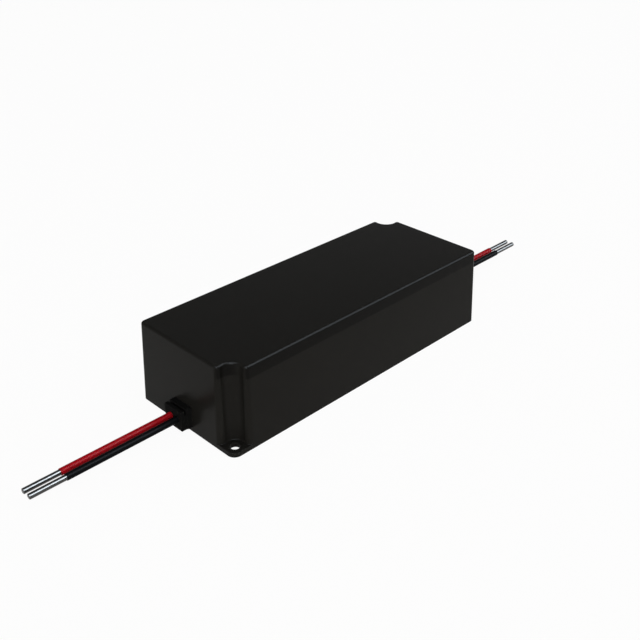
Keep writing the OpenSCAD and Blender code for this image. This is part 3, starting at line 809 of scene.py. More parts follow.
class Shape:
    """Points and faces gathered in millimetres, before they become a piece."""

    MERGE = 0.002
    SLIVER = 0.0005

    def __init__(self) -> None:
        """Starts empty."""
        self.points: list[Point] = []
        self.faces: list[list[int]] = []

    def ring(self, points: Sequence[Point]) -> list[int]:
        """Adds points.

        Args:
            points: the points in order.

        Returns:
            Their numbers.
        """
        first = len(self.points)
        self.points.extend(points)
        return list(range(first, len(self.points)))

    def band(self, low: Sequence[int], high: Sequence[int], closed: bool = True) -> None:
        """Adds the faces between two rows of as many points.

        Args:
            low: the first row.
            high: the row that lies on the outer or upper side of it.
            closed: whether the rows run round.
        """
        count = len(low)
        for i in range(count if closed else count - 1):
            j = (i + 1) % count
            face = [low[i], low[j], high[j], high[i]]
            face = [p for k, p in enumerate(face) if p != face[k - 1]]
            if len(face) > 2:
                self.faces.append(face)

    def stack(self, rings: Sequence[Sequence[Point]]) -> None:
        """Adds a closed solid through rings.

        Args:
            rings: the rings, from the lowest up, each with as many points.
        """
        rows = [self.ring(points) for points in rings]
        self.faces.append(rows[0][::-1])
        for low, high in zip(rows, rows[1:]):
            self.band(low, high)
        self.faces.append(rows[-1])

    def piece(self, name: str) -> bpy.types.Object:
        """Makes the shape a piece.

        Args:
            name: the piece's name.

        Returns:
            The piece, in metres, with its doubles merged and its faces outwards.
        """
        mesh = bpy.data.meshes.new(name)
        mesh.from_pydata([[c * MM for c in p] for p in self.points], [], self.faces)
        work = bmesh.new()
        work.from_mesh(mesh)
        bmesh.ops.remove_doubles(work, verts=work.verts, dist=self.MERGE * MM)
        bmesh.ops.dissolve_degenerate(work, edges=work.edges, dist=self.SLIVER * MM)
        bmesh.ops.recalc_face_normals(work, faces=work.faces)
        work.to_mesh(mesh)
        work.free()
        made = bpy.data.objects.new(name, mesh)
        bpy.context.scene.collection.objects.link(made)
        return made


def arc(centre: Flat, radius: float, start: float, end: float, steps: int) -> list[Flat]:
    """The points of an arc between two angles in degrees, one more than its steps."""
    turns = [math.radians(start + (end - start) * i / steps) for i in range(steps + 1)]
    return [(centre[0] + radius * math.cos(t), centre[1] + radius * math.sin(t)) for t in turns]


def rounding(radius: float, steps: int) -> list[Flat]:
    """A rounded edge's steps: how far each lies in from the side, and how far back from the face."""
    turns = [math.radians(90 * i / steps) for i in range(steps + 1)]
    return [(radius * (1 - math.cos(t)), radius * (1 - math.sin(t))) for t in turns]


def circle(centre: Flat, radius: float, sides: int) -> list[Flat]:
    """The points of a whole round, counter-clockwise from +X."""
    return arc(centre, radius, 0, 360 - 360 / sides, sides - 1)


def rounded(width: float, height: float, radius: float, steps: int = 6) -> list[Flat]:
    """A rectangle with round corners, about the origin.

    Args:
        width: its width.
        height: its height.
        radius: its corners' radius.
        steps: into how many steps each corner is divided.

    Returns:
        Its points, counter-clockwise.
    """
    right, top = width / 2 - radius, height / 2 - radius
    corners = [(right, -top, -90), (right, top, 0), (-right, top, 90), (-right, -top, 180)]
    return [p for x, y, a in corners for p in arc((x, y), radius, a, a + 90, steps)]


# Sizes


@dataclass(frozen=True)
class CaseSizes:
    """The case's sizes, in millimetres, as the CAD has them."""

    length: float = 150.2
    width: float = 58.4
    height: float = 37.0
    draft: float = 2.0
    wall: float = 2.0
    roof: float = 2.2
    top_round: float = 1.2
    corner_round: float = 2.0
    least_round: float = 0.3
    scoop_in: float = 4.2
    scoop_round: float = 4.1
    scoop_draft: float = 1.25
    lip_round: float = 2.4
    lug: float = 2.1
    lug_round: float = 3.5
    hole: float = 4.2
    hole_in: float = 4.2
    cover: float = 1.8
    rim: float = 1.0
    board_top: float = 5.2

    def drawn(self, z: float) -> float:
        """How far a wall has drawn in at a height."""
        return z * math.tan(math.radians(self.draft))

    def turned(self, points: Sequence[Flat], corner: int) -> list[Flat]:
        """A corner's own points at their place.

        Args:
            points: the points, with the corner's outside at the origin.
            corner: 0 for -X -Y, then counter-clockwise.

        Returns:
            The points on the case.
        """
        for _ in range(corner):
            points = [(-y, x) for x, y in points]
        x0 = self.length / 2 * (-1 if corner in (0, 3) else 1)
        y0 = self.width / 2 * (-1 if corner < 2 else 1)
        return [(x0 + x, y0 + y) for x, y in points]

    def plain_corner(self, z: float, inset: float, steps: int = 14) -> list[Flat]:
        """A plain corner.

        Args:
            z: the height.
            inset: how far it is drawn in from the outer face.
            steps: into how many steps its round is divided.

        Returns:
            The corner's points, with its outside at the origin.
        """
        r = max(self.corner_round - inset, self.least_round)
        mid = self.drawn(z) + inset + r
        return arc((mid, mid), r, 180, 270, steps)

    def scooped_corner(self, z: float, inset: float, lip: int = 16, scoop: int = 40) -> list[Flat]:
        """A scooped corner: a round, the scoop, and a round again.

        Args:
            z: the height.
            inset: how far it is drawn in from the outer face.
            lip: into how many steps each round is divided.
            scoop: the same for the scoop.

        Returns:
            The corner's points, with its outside at the origin.
        """
        grown = z * math.tan(math.radians(self.scoop_draft)) + inset
        r, s = max(self.lip_round - grown, self.least_round), self.scoop_round + grown
        mid = self.drawn(z) + inset + r
        along = self.scoop_in + math.sqrt((s + r) ** 2 - (self.scoop_in - mid) ** 2)
        a = math.degrees(math.atan2(along - self.scoop_in, self.scoop_in - mid))
        middle = arc((self.scoop_in, self.scoop_in), s, 180 - a, a - 90, scoop)
        return arc((mid, along), r, 180, 360 - a, lip) + middle[1:-1] + arc((along, mid), r, a + 90, 270, lip)

    def lug_corner(self, z: float, inset: float, steps: int = 14, straight: int = 8) -> list[Flat]:
        """A lug's corner, between the ends of the scoop's rounds above it.

        Args:
            z: the height.
            inset: how far it is drawn in from the outer face.
            steps: into how many steps its round is divided.
            straight: the same for each of its straight sides.

        Returns:
            The corner's points, with its outside at the origin.
        """
        lips = self.scooped_corner(z, inset)
        first, last = lips[0], lips[-1]
        r = self.lug_round
        turn = arc((r, r), r - self.drawn(z) - inset, 180, 270, steps)
        shares = [i / straight for i in range(straight)]
        down = [(first[0], first[1] + (turn[0][1] - first[1]) * t) for t in shares]
        out = [(last[0] + (turn[-1][0] - last[0]) * t, last[1]) for t in reversed(shares)]
        return down + turn + out

    def around(self, first: Sequence[Flat], second: Sequence[Flat]) -> list[Flat]:
        """A whole outline from the points of its first two corners, which repeat by half a turn."""
        return [p for k in range(4) for p in self.turned(second if k % 2 else first, k)]

    def runs(self, first: Sequence[Flat]) -> list[slice]:
        """Where a whole outline has the points of its first corner, both times."""
        count, plain = len(first), len(self.plain_corner(0, 0))
        return [slice(start, start + count) for start in (0, count + plain)]

    def outline(self, z: float, inset: float) -> list[Flat]:
        """The outline of the walls at a height, drawn in by the inset."""
        return self.around(self.scooped_corner(z, inset), self.plain_corner(z, inset))

    def foot(self, z: float, inset: float) -> list[Flat]:
        """The outline of the foot with its two lugs at a height, drawn in by the inset."""
        return self.around(self.lug_corner(z, inset), self.plain_corner(z, inset))


class End(Enum):
    """An end of the case, by the sign of its X."""

    INPUT = -1
    OUTPUT = 1


class Polarity(Enum):
    """A lead of a pair, by the side of the pair's middle that it is on."""

    POSITIVE = 1
    NEGATIVE = -1


@dataclass(frozen=True)
class LeadSizes:
    """The leads' sizes and routes, in millimetres, as the CAD has them."""

    diameter: float = 2.8
    core: float = 2.3
    pitch: float = 4.0
    middle: float = 1.0
    height: float = 6.9
    bare: dict[End, float] = field(default_factory=lambda: {End.INPUT: 14.8, End.OUTPUT: 15.4})
    stations: dict[End, tuple[float, ...]] = field(default_factory=lambda: {
        End.INPUT: (79.9, 86, 93, 100, 107, 114, 121, 129),
        End.OUTPUT: (79.9, 86, 93, 100, 107, 114, 121, 127, 132.2),
    })
    pad: float = 59.1
    strip: float = 63.6
    bend: float = 2.4
    foot: float = 2.4


@dataclass(frozen=True)
class ReliefSizes:
    """The strain reliefs' sizes, in millimetres.

    Inner is the flange's width and height. Outer and shift give the block outside the wall its own size and
    place. The slot in the block's top and the notch in its underside have their own depths.
    """

    inner: Flat = (10.2, 8.7)
    outer: Flat = (10.9, 9.35)
    shift: Flat = (0.345, -0.225)
    corner: float = 0.4
    corner_share: float = 0.3
    least_corner: float = 0.2
    neck: float = 0.9
    flange: float = 1.1
    flange_edge: float = 0.3
    block: float = 2.2
    slot: float = 1.0
    plate: float = 1.6
    step: float = 0.2
    soft: float = 0.12
    slot_depth: float = 2.1
    notch_depth: float = 0.3
    hole_in: float = 6.0
    hole_room: float = 0.015
    hole_flare: float = 0.14

    @property
    def reach(self) -> float:
        """How far the outer plate's face stands out from the foot of the wall."""
        return self.block + self.slot + self.plate


# The case


class Moulding:
    """The case: a drafted box with two scooped corners, lugs and rounds.

    A guard row of small faces on each side of the lugs' tops keeps the tall faces' shading flat.
    """

    BREAK = 0.1
    LUG_EDGE = 0.07
    FILLET = 0.25
    GUARD = 0.4
    STILL = 0.8
    EASE = 2.4
    HOLE_FLARE = 0.03
    WINDOW_IN = 2.5

    def __init__(self, sizes: CaseSizes, leads: LeadSizes, relief: ReliefSizes) -> None:
        """Takes the sizes.

        Args:
            sizes: the case's sizes.
            leads: the leads' sizes.
            relief: the strain reliefs' sizes.
        """
        self.sizes = sizes
        self.leads = leads
        self.relief = relief

    def build(self, dresser: Dresser) -> bpy.types.Object:
        """Makes the case and hands it in.

        Args:
            dresser: gives the finish.

        Returns:
            The case.
        """
        case = self.outside()
        cut(case, self.hollow())
        for corner in (0, 2):
            cut(case, self.screw_hole(corner))
        for side in (-1, 1):
            cut(case, self.window(side))
        shade(case)
        return dresser.hand_in(case, "case_plastic", "case_shell")

    def outside(self) -> bpy.types.Object:
        """Makes the outer skin, closed below.

        Returns:
            The skin.
        """
        s = self.sizes
        shape = Shape()
        rows = [shape.ring([(x, y, up) for x, y in s.foot(0.0, inset)])
                for up, inset in rounding(self.BREAK, 4)]
        shape.faces.append(rows[0][::-1])
        for low, high in zip(rows, rows[1:]):
            shape.band(low, high)
        top_of_foot = self.foot_top(shape, rows[-1])
        walls = self.walls(shape)
        self.join_straight(shape, top_of_foot, walls)
        return shape.piece("case_moulding")

    def ease(self, points: Sequence[Flat]) -> list[float]:
        """Eases from 0, near both ends of a run, up to 1.

        Args:
            points: the run's points.

        Returns:
            The share for each point.
        """
        steps = [math.dist(a, b) for a, b in zip(points, points[1:])]
        gone = [sum(steps[:i]) for i in range(len(points))]
        shares = [max(0.0, min(1.0, (min(g, gone[-1] - g) - self.STILL) / self.EASE)) for g in gone]
        return [t * t * (3 - 2 * t) for t in shares]

    def eased(self, outline: Sequence[Flat], runs: Sequence[slice], size: float) -> list[float]:
        """A size that a round has along an outline's runs, eased to 0 at their ends, and 0 elsewhere.

        Args:
            outline: the outline's points.
            runs: where its runs lie.
            size: the whole size.

        Returns:
            The size at each point of the outline.
        """
        sizes = [0.0] * len(outline)
        for run in runs:
            sizes[run] = [size * share for share in self.ease(outline[run])]
        return sizes

    def inward(self, points: Sequence[Flat]) -> list[Flat]:
        """The level direction that points inwards from a run.

        Args:
            points: the run's points, counter-clockwise about the case.

        Returns:
            The direction at each point.
        """
        found = []
        for i in range(len(points)):
            a, b = points[max(i - 1, 0)], points[min(i + 1, len(points) - 1)]
            length = math.dist(a, b)
            found.append(((a[1] - b[1]) / length, (b[0] - a[0]) / length))
        return found

    def foot_top(self, shape: Shape, below: list[int]) -> list[int]:
        """Adds the foot's wall up to the lugs' tops, and the lugs' rounded edges.

        Args:
            shape: the shape that gets the faces.
            below: the row under it.

        Returns:
            The points round the top of the foot, the lugs' own edges drawn in by their rounds.
        """
        s = self.sizes
        outline, lugs = s.foot(s.lug, 0.0), s.runs(s.lug_corner(0, 0))
        drop = self.eased(outline, lugs, self.LUG_EDGE)
        guard = shape.ring([(x, y, s.lug - self.GUARD) for x, y in s.foot(s.lug - self.GUARD, 0.0)])
        shape.band(below, guard)
        row = shape.ring([(x, y, s.lug - d) for (x, y), d in zip(outline, drop)])
        shape.band(guard, row)
        for run in lugs:
            row[run] = self.roll(shape, row[run], outline[run], drop[run], side=1, steps=6)
        return row

    def walls(self, shape: Shape) -> list[int]:
        """Adds the body's walls and top, and the fillets at the foot of the scoops.

        Args:
            shape: the shape that gets the faces.

        Returns:
            The lowest row of the walls.
        """
        s = self.sizes
        outline, scoops = s.outline(s.lug, 0.0), s.runs(s.scooped_corner(0, 0))
        rise = self.eased(outline, scoops, self.FILLET)
        lowest = shape.ring([(x, y, s.lug + d) for (x, y), d in zip(outline, rise)])
        low = lowest
        heights = [(s.lug + self.GUARD, 0.0)]
        heights += [(s.height - back, inset) for inset, back in rounding(s.top_round, 10)]
        for z, inset in heights:
            high = shape.ring([(x, y, z) for x, y in s.outline(z, inset)])
            shape.band(low, high)
            low = high
        shape.faces.append(low)
        row = list(lowest)
        for run in scoops:
            row[run] = self.roll(shape, row[run], outline[run], rise[run], side=-1, steps=5)
        return row

    def roll(self, shape: Shape, edge: list[int], run: Sequence[Flat], sizes: Sequence[float],
             side: int, steps: int) -> list[int]:
        """Rolls a wall's edge over into a lug's flat top, in the steps of a unit round that the sizes scale.

        Args:
            shape: the shape that gets the faces.
            edge: the edge's row.
            run: its outline at the lug's top.
            sizes: the radius at each of its points.
            side: 1 for a lug's own edge, which rolls up and in, -1 for a fillet, which rolls down and out.
            steps: into how many steps it is divided.

        Returns:
            The row where the roll ends.
        """
        between = list(zip(run, self.inward(run), sizes))[1:-1]
        for over, down in rounding(side, steps)[1:]:
            rolled = shape.ring([(x + nx * r * over, y + ny * r * over, self.sizes.lug - r * down)
                                 for (x, y), (nx, ny), r in between])
            after = [edge[0], *rolled, edge[-1]]
            low, high = (edge, after) if side > 0 else (after, edge)
            shape.band(low, high, closed=False)
            edge = after
        return edge

    def join_straight(self, shape: Shape, foot: list[int], walls: list[int]) -> None:
        """Adds the flat tops of the lugs; the rest of the two rows is the same line and merges.

        Args:
            shape: the shape that gets the faces.
            foot: the row round the top of the foot.
            walls: the lowest row of the walls.
        """
        s = self.sizes
        for lug, scoop in zip(s.runs(s.lug_corner(0, 0)), s.runs(s.scooped_corner(0, 0))):
            shape.faces.append(foot[lug] + walls[scoop][-2:0:-1])

    def hollow(self) -> bpy.types.Object:
        """The tool for all that is hollow: the cover's seat, and the inside above it.

        Returns:
            The tool.
        """
        s = self.sizes
        seat = s.outline(0.0, s.rim)
        levels = [(-PAST, seat), (s.cover, seat), (s.cover, s.outline(s.cover, s.wall)),
                  (s.height - s.roof, s.outline(s.height - s.roof, s.wall))]
        shape = Shape()
        shape.stack([[(x, y, z) for x, y in points] for z, points in levels])
        return shape.piece("hollow_tool")

    def screw_hole(self, corner: int) -> bpy.types.Object:
        """The tool for a lug's screw hole, which flares a little at both faces.

        Args:
            corner: the corner that the lug is on.

        Returns:
            The tool.
        """
        s = self.sizes
        centre = s.turned([(s.hole_in, s.hole_in)], corner)[0]
        mouth = s.hole / 2 + self.HOLE_FLARE
        half = [(-PAST, mouth)] + [(up, s.hole / 2 + wide) for up, wide in rounding(self.HOLE_FLARE, 5)]
        levels = half + [(s.lug - z, r) for z, r in reversed(half)]
        shape = Shape()
        shape.stack([[(x, y, z) for x, y in circle(centre, r, 144)] for z, r in levels])
        return shape.piece("hole_tool")

    def window(self, side: int) -> bpy.types.Object:
        """The tool for the window that a strain relief's neck fills.

        Args:
            side: the sign of the end's X.

        Returns:
            The tool.
        """
        half, relief = self.sizes.length / 2, self.relief
        width, height = (size - 2 * relief.neck for size in relief.inner)
        xs = sorted([side * (half - self.sizes.wall - self.WINDOW_IN), side * (half + PAST)])
        shape = Shape()
        shape.stack([[(x, self.leads.middle + y, self.leads.height + z)
                      for y, z in rounded(width, height, relief.corner)] for x in xs])
        return shape.piece("window_tool")


class CaseRibs:
    """The ribs inside the case that stop the board, set out along both long walls."""

    PLACES = (-39.0, 1.5, 39.0)
    THICK = 1.6
    REACH = 2.0
    IN_WALL = 0.6
    IN_ROOF = 0.4

    def __init__(self, sizes: CaseSizes) -> None:
        """Takes the case's sizes."""
        self.sizes = sizes

    def build(self, dresser: Dresser) -> bpy.types.Object:
        """Grows the ribs on their places and hands them in.

        Args:
            dresser: gives the finish.

        Returns:
            The ribs, as one piece.
        """
        s = self.sizes
        inside = s.width / 2 - s.wall - s.drawn(s.board_top) - self.REACH
        outside = s.width / 2 - s.drawn(s.height) - self.IN_WALL
        roof = s.height - s.roof + self.IN_ROOF
        points = [(x, side * (inside + outside) / 2, (s.board_top + roof) / 2)
                  for x in self.PLACES for side in (-1, 1)]
        shape = Shape()
        shape.ring(points)
        piece = shape.piece("case_ribs")
        growth = Growth("rib_rows")
        size = growth.size("Rib size", "Vector")
        bar = growth.node("GeometryNodeMeshCube", None, {"Size": size, "Vertices X": 2, "Vertices Z": 12})
        rows = growth.node("GeometryNodeInstanceOnPoints", None, {
            "Points": growth.start, "Instance": bar.outputs[0]})
        growth.close(rows.outputs[0], dresser.materials["case_plastic"])
        sides = (self.THICK, outside - inside, roof - s.board_top)
        growth.grow(piece, {"Rib size": [side * MM for side in sides]})
        return dresser.hand_in(piece, "case_plastic", "case_shell")


# Leads and strain reliefs


class Lead:
    """One lead: its free insulation, the stretch inside the case, its bare end and its conductor."""

    LAP = 6.0
    SOFT = 0.12

    def __init__(self, end: End, polarity: Polarity, sizes: LeadSizes) -> None:
        """Takes the lead's place.

        Args:
            end: the end of the case that it leaves.
            polarity: which lead of the pair it is.
            sizes: the leads' sizes.
        """
        self.end = end
        self.polarity = polarity
        self.sizes = sizes
        self.name = f"{end.name.lower()}_{polarity.name.lower()}"
        self.y = sizes.middle + polarity.value * sizes.pitch / 2
        self.stations = sizes.stations[end]

    def at(self, x: float, y: float = 0.0, z: float = 0.0) -> Point:
        """A point by its distance from the case's middle and from the lead's own line."""
        return (self.end.value * x, self.y + y, self.sizes.height + z)

    def build(self, dresser: Dresser, growth: "StrandGrowth") -> None:
        """Args:
            dresser: gives the finishes.
            growth: sweeps the strands.
        """
        slot = "red_insulation" if self.polarity is Polarity.POSITIVE else "black_insulation"
        node = f"{self.name}_insulation"
        last = self.stations[-1]
        free = self.tube(f"{self.name}_lead", self.fine(self.stations))
        dresser.hand_in(free, slot, node)
        inside = self.tube(f"{self.name}_lead_inside", [self.sizes.strip, self.stations[0]])
        dresser.hand_in(inside, slot, node)
        shown = [self.at(last - self.LAP), self.at(last + self.sizes.bare[self.end])]
        tip = growth.sweep(f"{self.name}_bare_end", shown, lobed=True)
        dresser.hand_in(tip, "tinned_copper", f"{self.name}_conductor")
        core = growth.sweep(f"{self.name}_conductor_inside", self.core_route(last - self.LAP), lobed=False)
        dresser.hand_in(core, "tinned_copper", f"{self.name}_conductor")
        [c * MM for c in self.at(self.stations[0])]
        (last - self.stations[0]) * MM
        [[c * MM for c in self.at(x)] for x in self.fine(self.stations)]

    def fine(self, stations: Sequence[float]) -> list[float]:
        """The stations with two more between each two."""
        found = [a + (b - a) * t / 3 for a, b in zip(stations, stations[1:]) for t in range(3)]
        return found + [stations[-1]]

    def tube(self, name: str, stations: Sequence[float]) -> bpy.types.Object:
        """A tube of insulation with its bore and its softened end.

        Args:
            name: the piece's name.
            stations: its distances from the case's middle.

        Returns:
            The tube.
        """
        outer, inner = self.sizes.diameter / 2, self.sizes.core / 2
        profile = [(x, outer) for x in stations[:-1]]
        profile += [(stations[-1] - back, outer - inset) for inset, back in rounding(self.SOFT, 4)]
        profile += [(x, inner) for x in (stations[-1], stations[0])]
        shape = Shape()
        rows = [shape.ring([self.at(x, *p) for p in circle((0, 0), r, 48)]) for x, r in profile]
        for low, high in zip(rows, rows[1:] + rows[:1]):
            shape.band(low, high)
        return shade(shape.piece(name), limit=50)

    def core_route(self, far: float) -> list[Point]:
        """The conductor's route, from under the board out through the wall.

        Args:
            far: where the bare end takes over, from the case's middle.

        Returns:
            The route's points.
        """
        s = self.sizes
        bend = [(s.pad + inset, s.height - back) for inset, back in rounding(s.bend, 9)]
        flat = [(s.pad, s.foot), *bend, (far, s.height)]
        return [self.at(d, 0, z - s.height) for d, z in flat]


class StrandGrowth:
    """Sweeps tinned strands along a route: a shallow lobe for each outer strand, laid in a slow twist."""

    LOBES = 11
    GROOVE = 0.004
    SIDES = 88
    ROUND_END = 0.3
    SHARP_END = 0.00001
    TAPER = 0.6
    LAY = 34.0
    STEPS = 40

    def __init__(self, sizes: LeadSizes, material: bpy.types.Material) -> None:
        """Builds the tree.

        Args:
            sizes: the leads' sizes.
            material: the strands' finish.
        """
        self.sizes = sizes
        growth = Growth("tinned_strands")
        radius, groove = growth.size("Radius"), growth.size("Groove")
        lobes, twist, end = growth.size("Lobes"), growth.size("Twist"), growth.size("Round end")
        route = growth.node("GeometryNodeMeshToCurve", None, {"Mesh": growth.start}).outputs[0]
        long = growth.node("GeometryNodeCurveLength", None, {0: route}).outputs[0]
        along = Wire(growth, growth.node("GeometryNodeSplineParameter").outputs["Length"])
        tilted = growth.node("GeometryNodeSetCurveTilt", None, {"Curve": route, "Tilt": along * twist})
        left = ((Wire(growth, long) - along) / end).least(1.0)
        slim = (1 - (1 - left) * (1 - left) * self.TAPER).math("POWER", 0.5)
        sized = growth.node("GeometryNodeSetCurveRadius", None, {"Curve": tilted.outputs[0], "Radius": slim})
        plain = growth.node("GeometryNodeCurvePrimitiveCircle", None, {
            "Resolution": self.SIDES, "Radius": radius})
        spot = growth.node("GeometryNodeInputPosition").outputs[0]
        parts = growth.node("ShaderNodeSeparateXYZ", None, {0: spot})
        x, y = Wire(growth, parts.outputs[0]), Wire(growth, parts.outputs[1])
        wave = ((y.math("ARCTAN2", x) * lobes).cosine() * 0.5 - 0.5) * groove / radius
        shift = growth.node("ShaderNodeVectorMath", {"operation": "SCALE"}, {0: spot, "Scale": wave})
        lobed = growth.node("GeometryNodeSetPosition", None, {
            "Geometry": plain.outputs[0], "Offset": shift.outputs[0]})
        swept = growth.node("GeometryNodeCurveToMesh", None, {
            "Curve": sized.outputs[0], "Profile Curve": lobed.outputs[0], "Scale": slim, "Fill Caps": True})
        smooth = growth.node("GeometryNodeSetShadeSmooth", None, {"Geometry": swept.outputs[0]})
        growth.close(smooth.outputs[0], material)
        self.growth = growth

    def sweep(self, name: str, route: Sequence[Point], lobed: bool) -> bpy.types.Object:
        """Grows a conductor.

        Args:
            name: the piece's name.
            route: its route in millimetres.
            lobed: whether its strands show and its end is round.

        Returns:
            The piece.
        """
        points = list(route)
        if lobed:
            (x0, y, z), (x1, _, _) = route
            length, sign = abs(x1 - x0), math.copysign(1, x1 - x0)
            ends = [length - back for _, back in rounding(self.ROUND_END, 6)]
            steps = [length * i / self.STEPS for i in range(self.STEPS - 1)] + ends
            points = [(x0 + sign * d, y, z) for d in steps]
        mesh = bpy.data.meshes.new(name)
        edges = [(i, i + 1) for i in range(len(points) - 1)]
        mesh.from_pydata([[c * MM for c in p] for p in points], edges, [])
        piece = bpy.data.objects.new(name, mesh)
        bpy.context.scene.collection.objects.link(piece)
        return self.growth.grow(piece, {
            "Radius": self.sizes.core / 2 * MM,
            "Groove": self.GROOVE * MM if lobed else 0.0,
            "Lobes": float(self.LOBES),
            "Twist": 2 * math.pi / (self.LAY * MM),
            "Round end": (self.ROUND_END if lobed else self.SHARP_END) * MM,
        })


class StrainRelief:
    """A strain relief: a flange inside the wall, a neck, and a block with slots behind its outer plate.

    The slots' tools start a hair beyond the block's own face, so that no two faces coincide.
    """

    HAIR = 0.01

    def __init__(self, end: End, sizes: ReliefSizes, case: CaseSizes, leads: LeadSizes) -> None:
        """Takes the relief's place.

        Args:
            end: the end of the case that it is on.
            sizes: its own sizes.
            case: the case's sizes.
            leads: the leads' sizes.
        """
        self.end = end
        self.sizes = sizes
        self.case = case
        self.leads = leads

    def section(self, inset: float, distance: float, slanted: bool, outer: bool) -> list[Point]:
        """One section.

        Args:
            inset: how much smaller than the flange or the block it is, on each side.
            distance: how far it stands from the case's middle, at the base if it is slanted.
            slanted: whether it lies in the wall's own slanting plane.
            outer: whether it belongs to the block outside the wall.

        Returns:
            The section's points.
        """
        s = self.sizes
        width, tall = s.outer if outer else s.inner
        aside, up = s.shift if outer else (0.0, 0.0)
        corner = max(s.corner - inset * s.corner_share, s.least_corner)
        flat = rounded(width - 2 * inset, tall - 2 * inset, corner)
        points = []
        for y, z in flat:
            height = self.leads.height + up + z
            out = distance - (self.case.drawn(height) if slanted else 0)
            points.append((self.end.value * out, self.leads.middle + aside + y, height))
        return points

    def build(self, dresser: Dresser) -> bpy.types.Object:
        """Makes the relief and hands it in.

        Args:
            dresser: gives the finish.

        Returns:
            The relief.
        """
        s, foot = self.sizes, self.case.length / 2
        wall = foot - self.case.wall
        block, slot, plate = foot + s.block, foot + s.block + s.slot, foot + s.reach
        soft = rounding(s.soft, 4)
        stations = [(s.flange_edge, wall - s.flange - s.flange_edge, True, False),
                    (0.0, wall - s.flange, True, False), (0.0, wall, True, False),
                    (s.neck, wall, True, False), (s.neck, foot, True, False), (0.0, foot, True, True)]
        stations += [(inset, block - back, False, True) for inset, back in soft]
        stations.append((s.step, block, False, True))
        stations += [(s.step + inset, plate - back, False, True) for inset, back in soft]
        shape = Shape()
        shape.stack([self.section(*station) for station in stations])
        name = f"{self.end.name.lower()}_relief_moulding"
        piece = shape.piece(name)
        top, bottom = (self.leads.height + s.shift[1] + side * s.outer[1] / 2 for side in (1, -1))
        for low, high in ((top - s.slot_depth, top + PAST), (bottom - PAST, bottom + s.notch_depth)):
            cut(piece, self.slot(block + self.HAIR, slot, low, high))
        for polarity in Polarity:
            cut(piece, self.lead_hole(polarity))
        return dresser.hand_in(shade(piece), "relief_rubber", f"{self.end.name.lower()}_strain_relief")

    def slot(self, near: float, far: float, low: float, high: float) -> bpy.types.Object:
        """A slot's tool, right across the block.

        Args:
            near: where it starts, from the case's middle.
            far: where it ends.
            low: its lower end.
            high: its upper end.

        Returns:
            The tool.
        """
        reach = self.sizes.outer[0] / 2 + PAST
        shape = Shape()
        shape.stack([[(self.end.value * x, self.leads.middle + y, z)
                      for y, z in ((-reach, low), (reach, low), (reach, high), (-reach, high))]
                     for x in (near, far)])
        return shape.piece("slot_tool")

    def lead_hole(self, polarity: Polarity) -> bpy.types.Object:
        """The tool for a lead's hole, which flares a little at the plate's face.

        Args:
            polarity: the lead.

        Returns:
            The tool.
        """
        s, foot = self.sizes, self.case.length / 2
        radius, face = self.leads.diameter / 2 + s.hole_room, foot + s.reach
        levels = [(foot - s.hole_in, radius)]
        levels += [(face - back, radius + wide) for wide, back in rounding(s.hole_flare, 4)]
        levels.append((face + PAST, radius + s.hole_flare))
        y0 = self.leads.middle + polarity.value * self.leads.pitch / 2
        shape = Shape()
        shape.stack([[(self.end.value * x, y0 + y, self.leads.height + z)
                      for y, z in circle((0, 0), r, 48)] for x, r in levels])
        return shape.piece("lead_tool")


# The studio


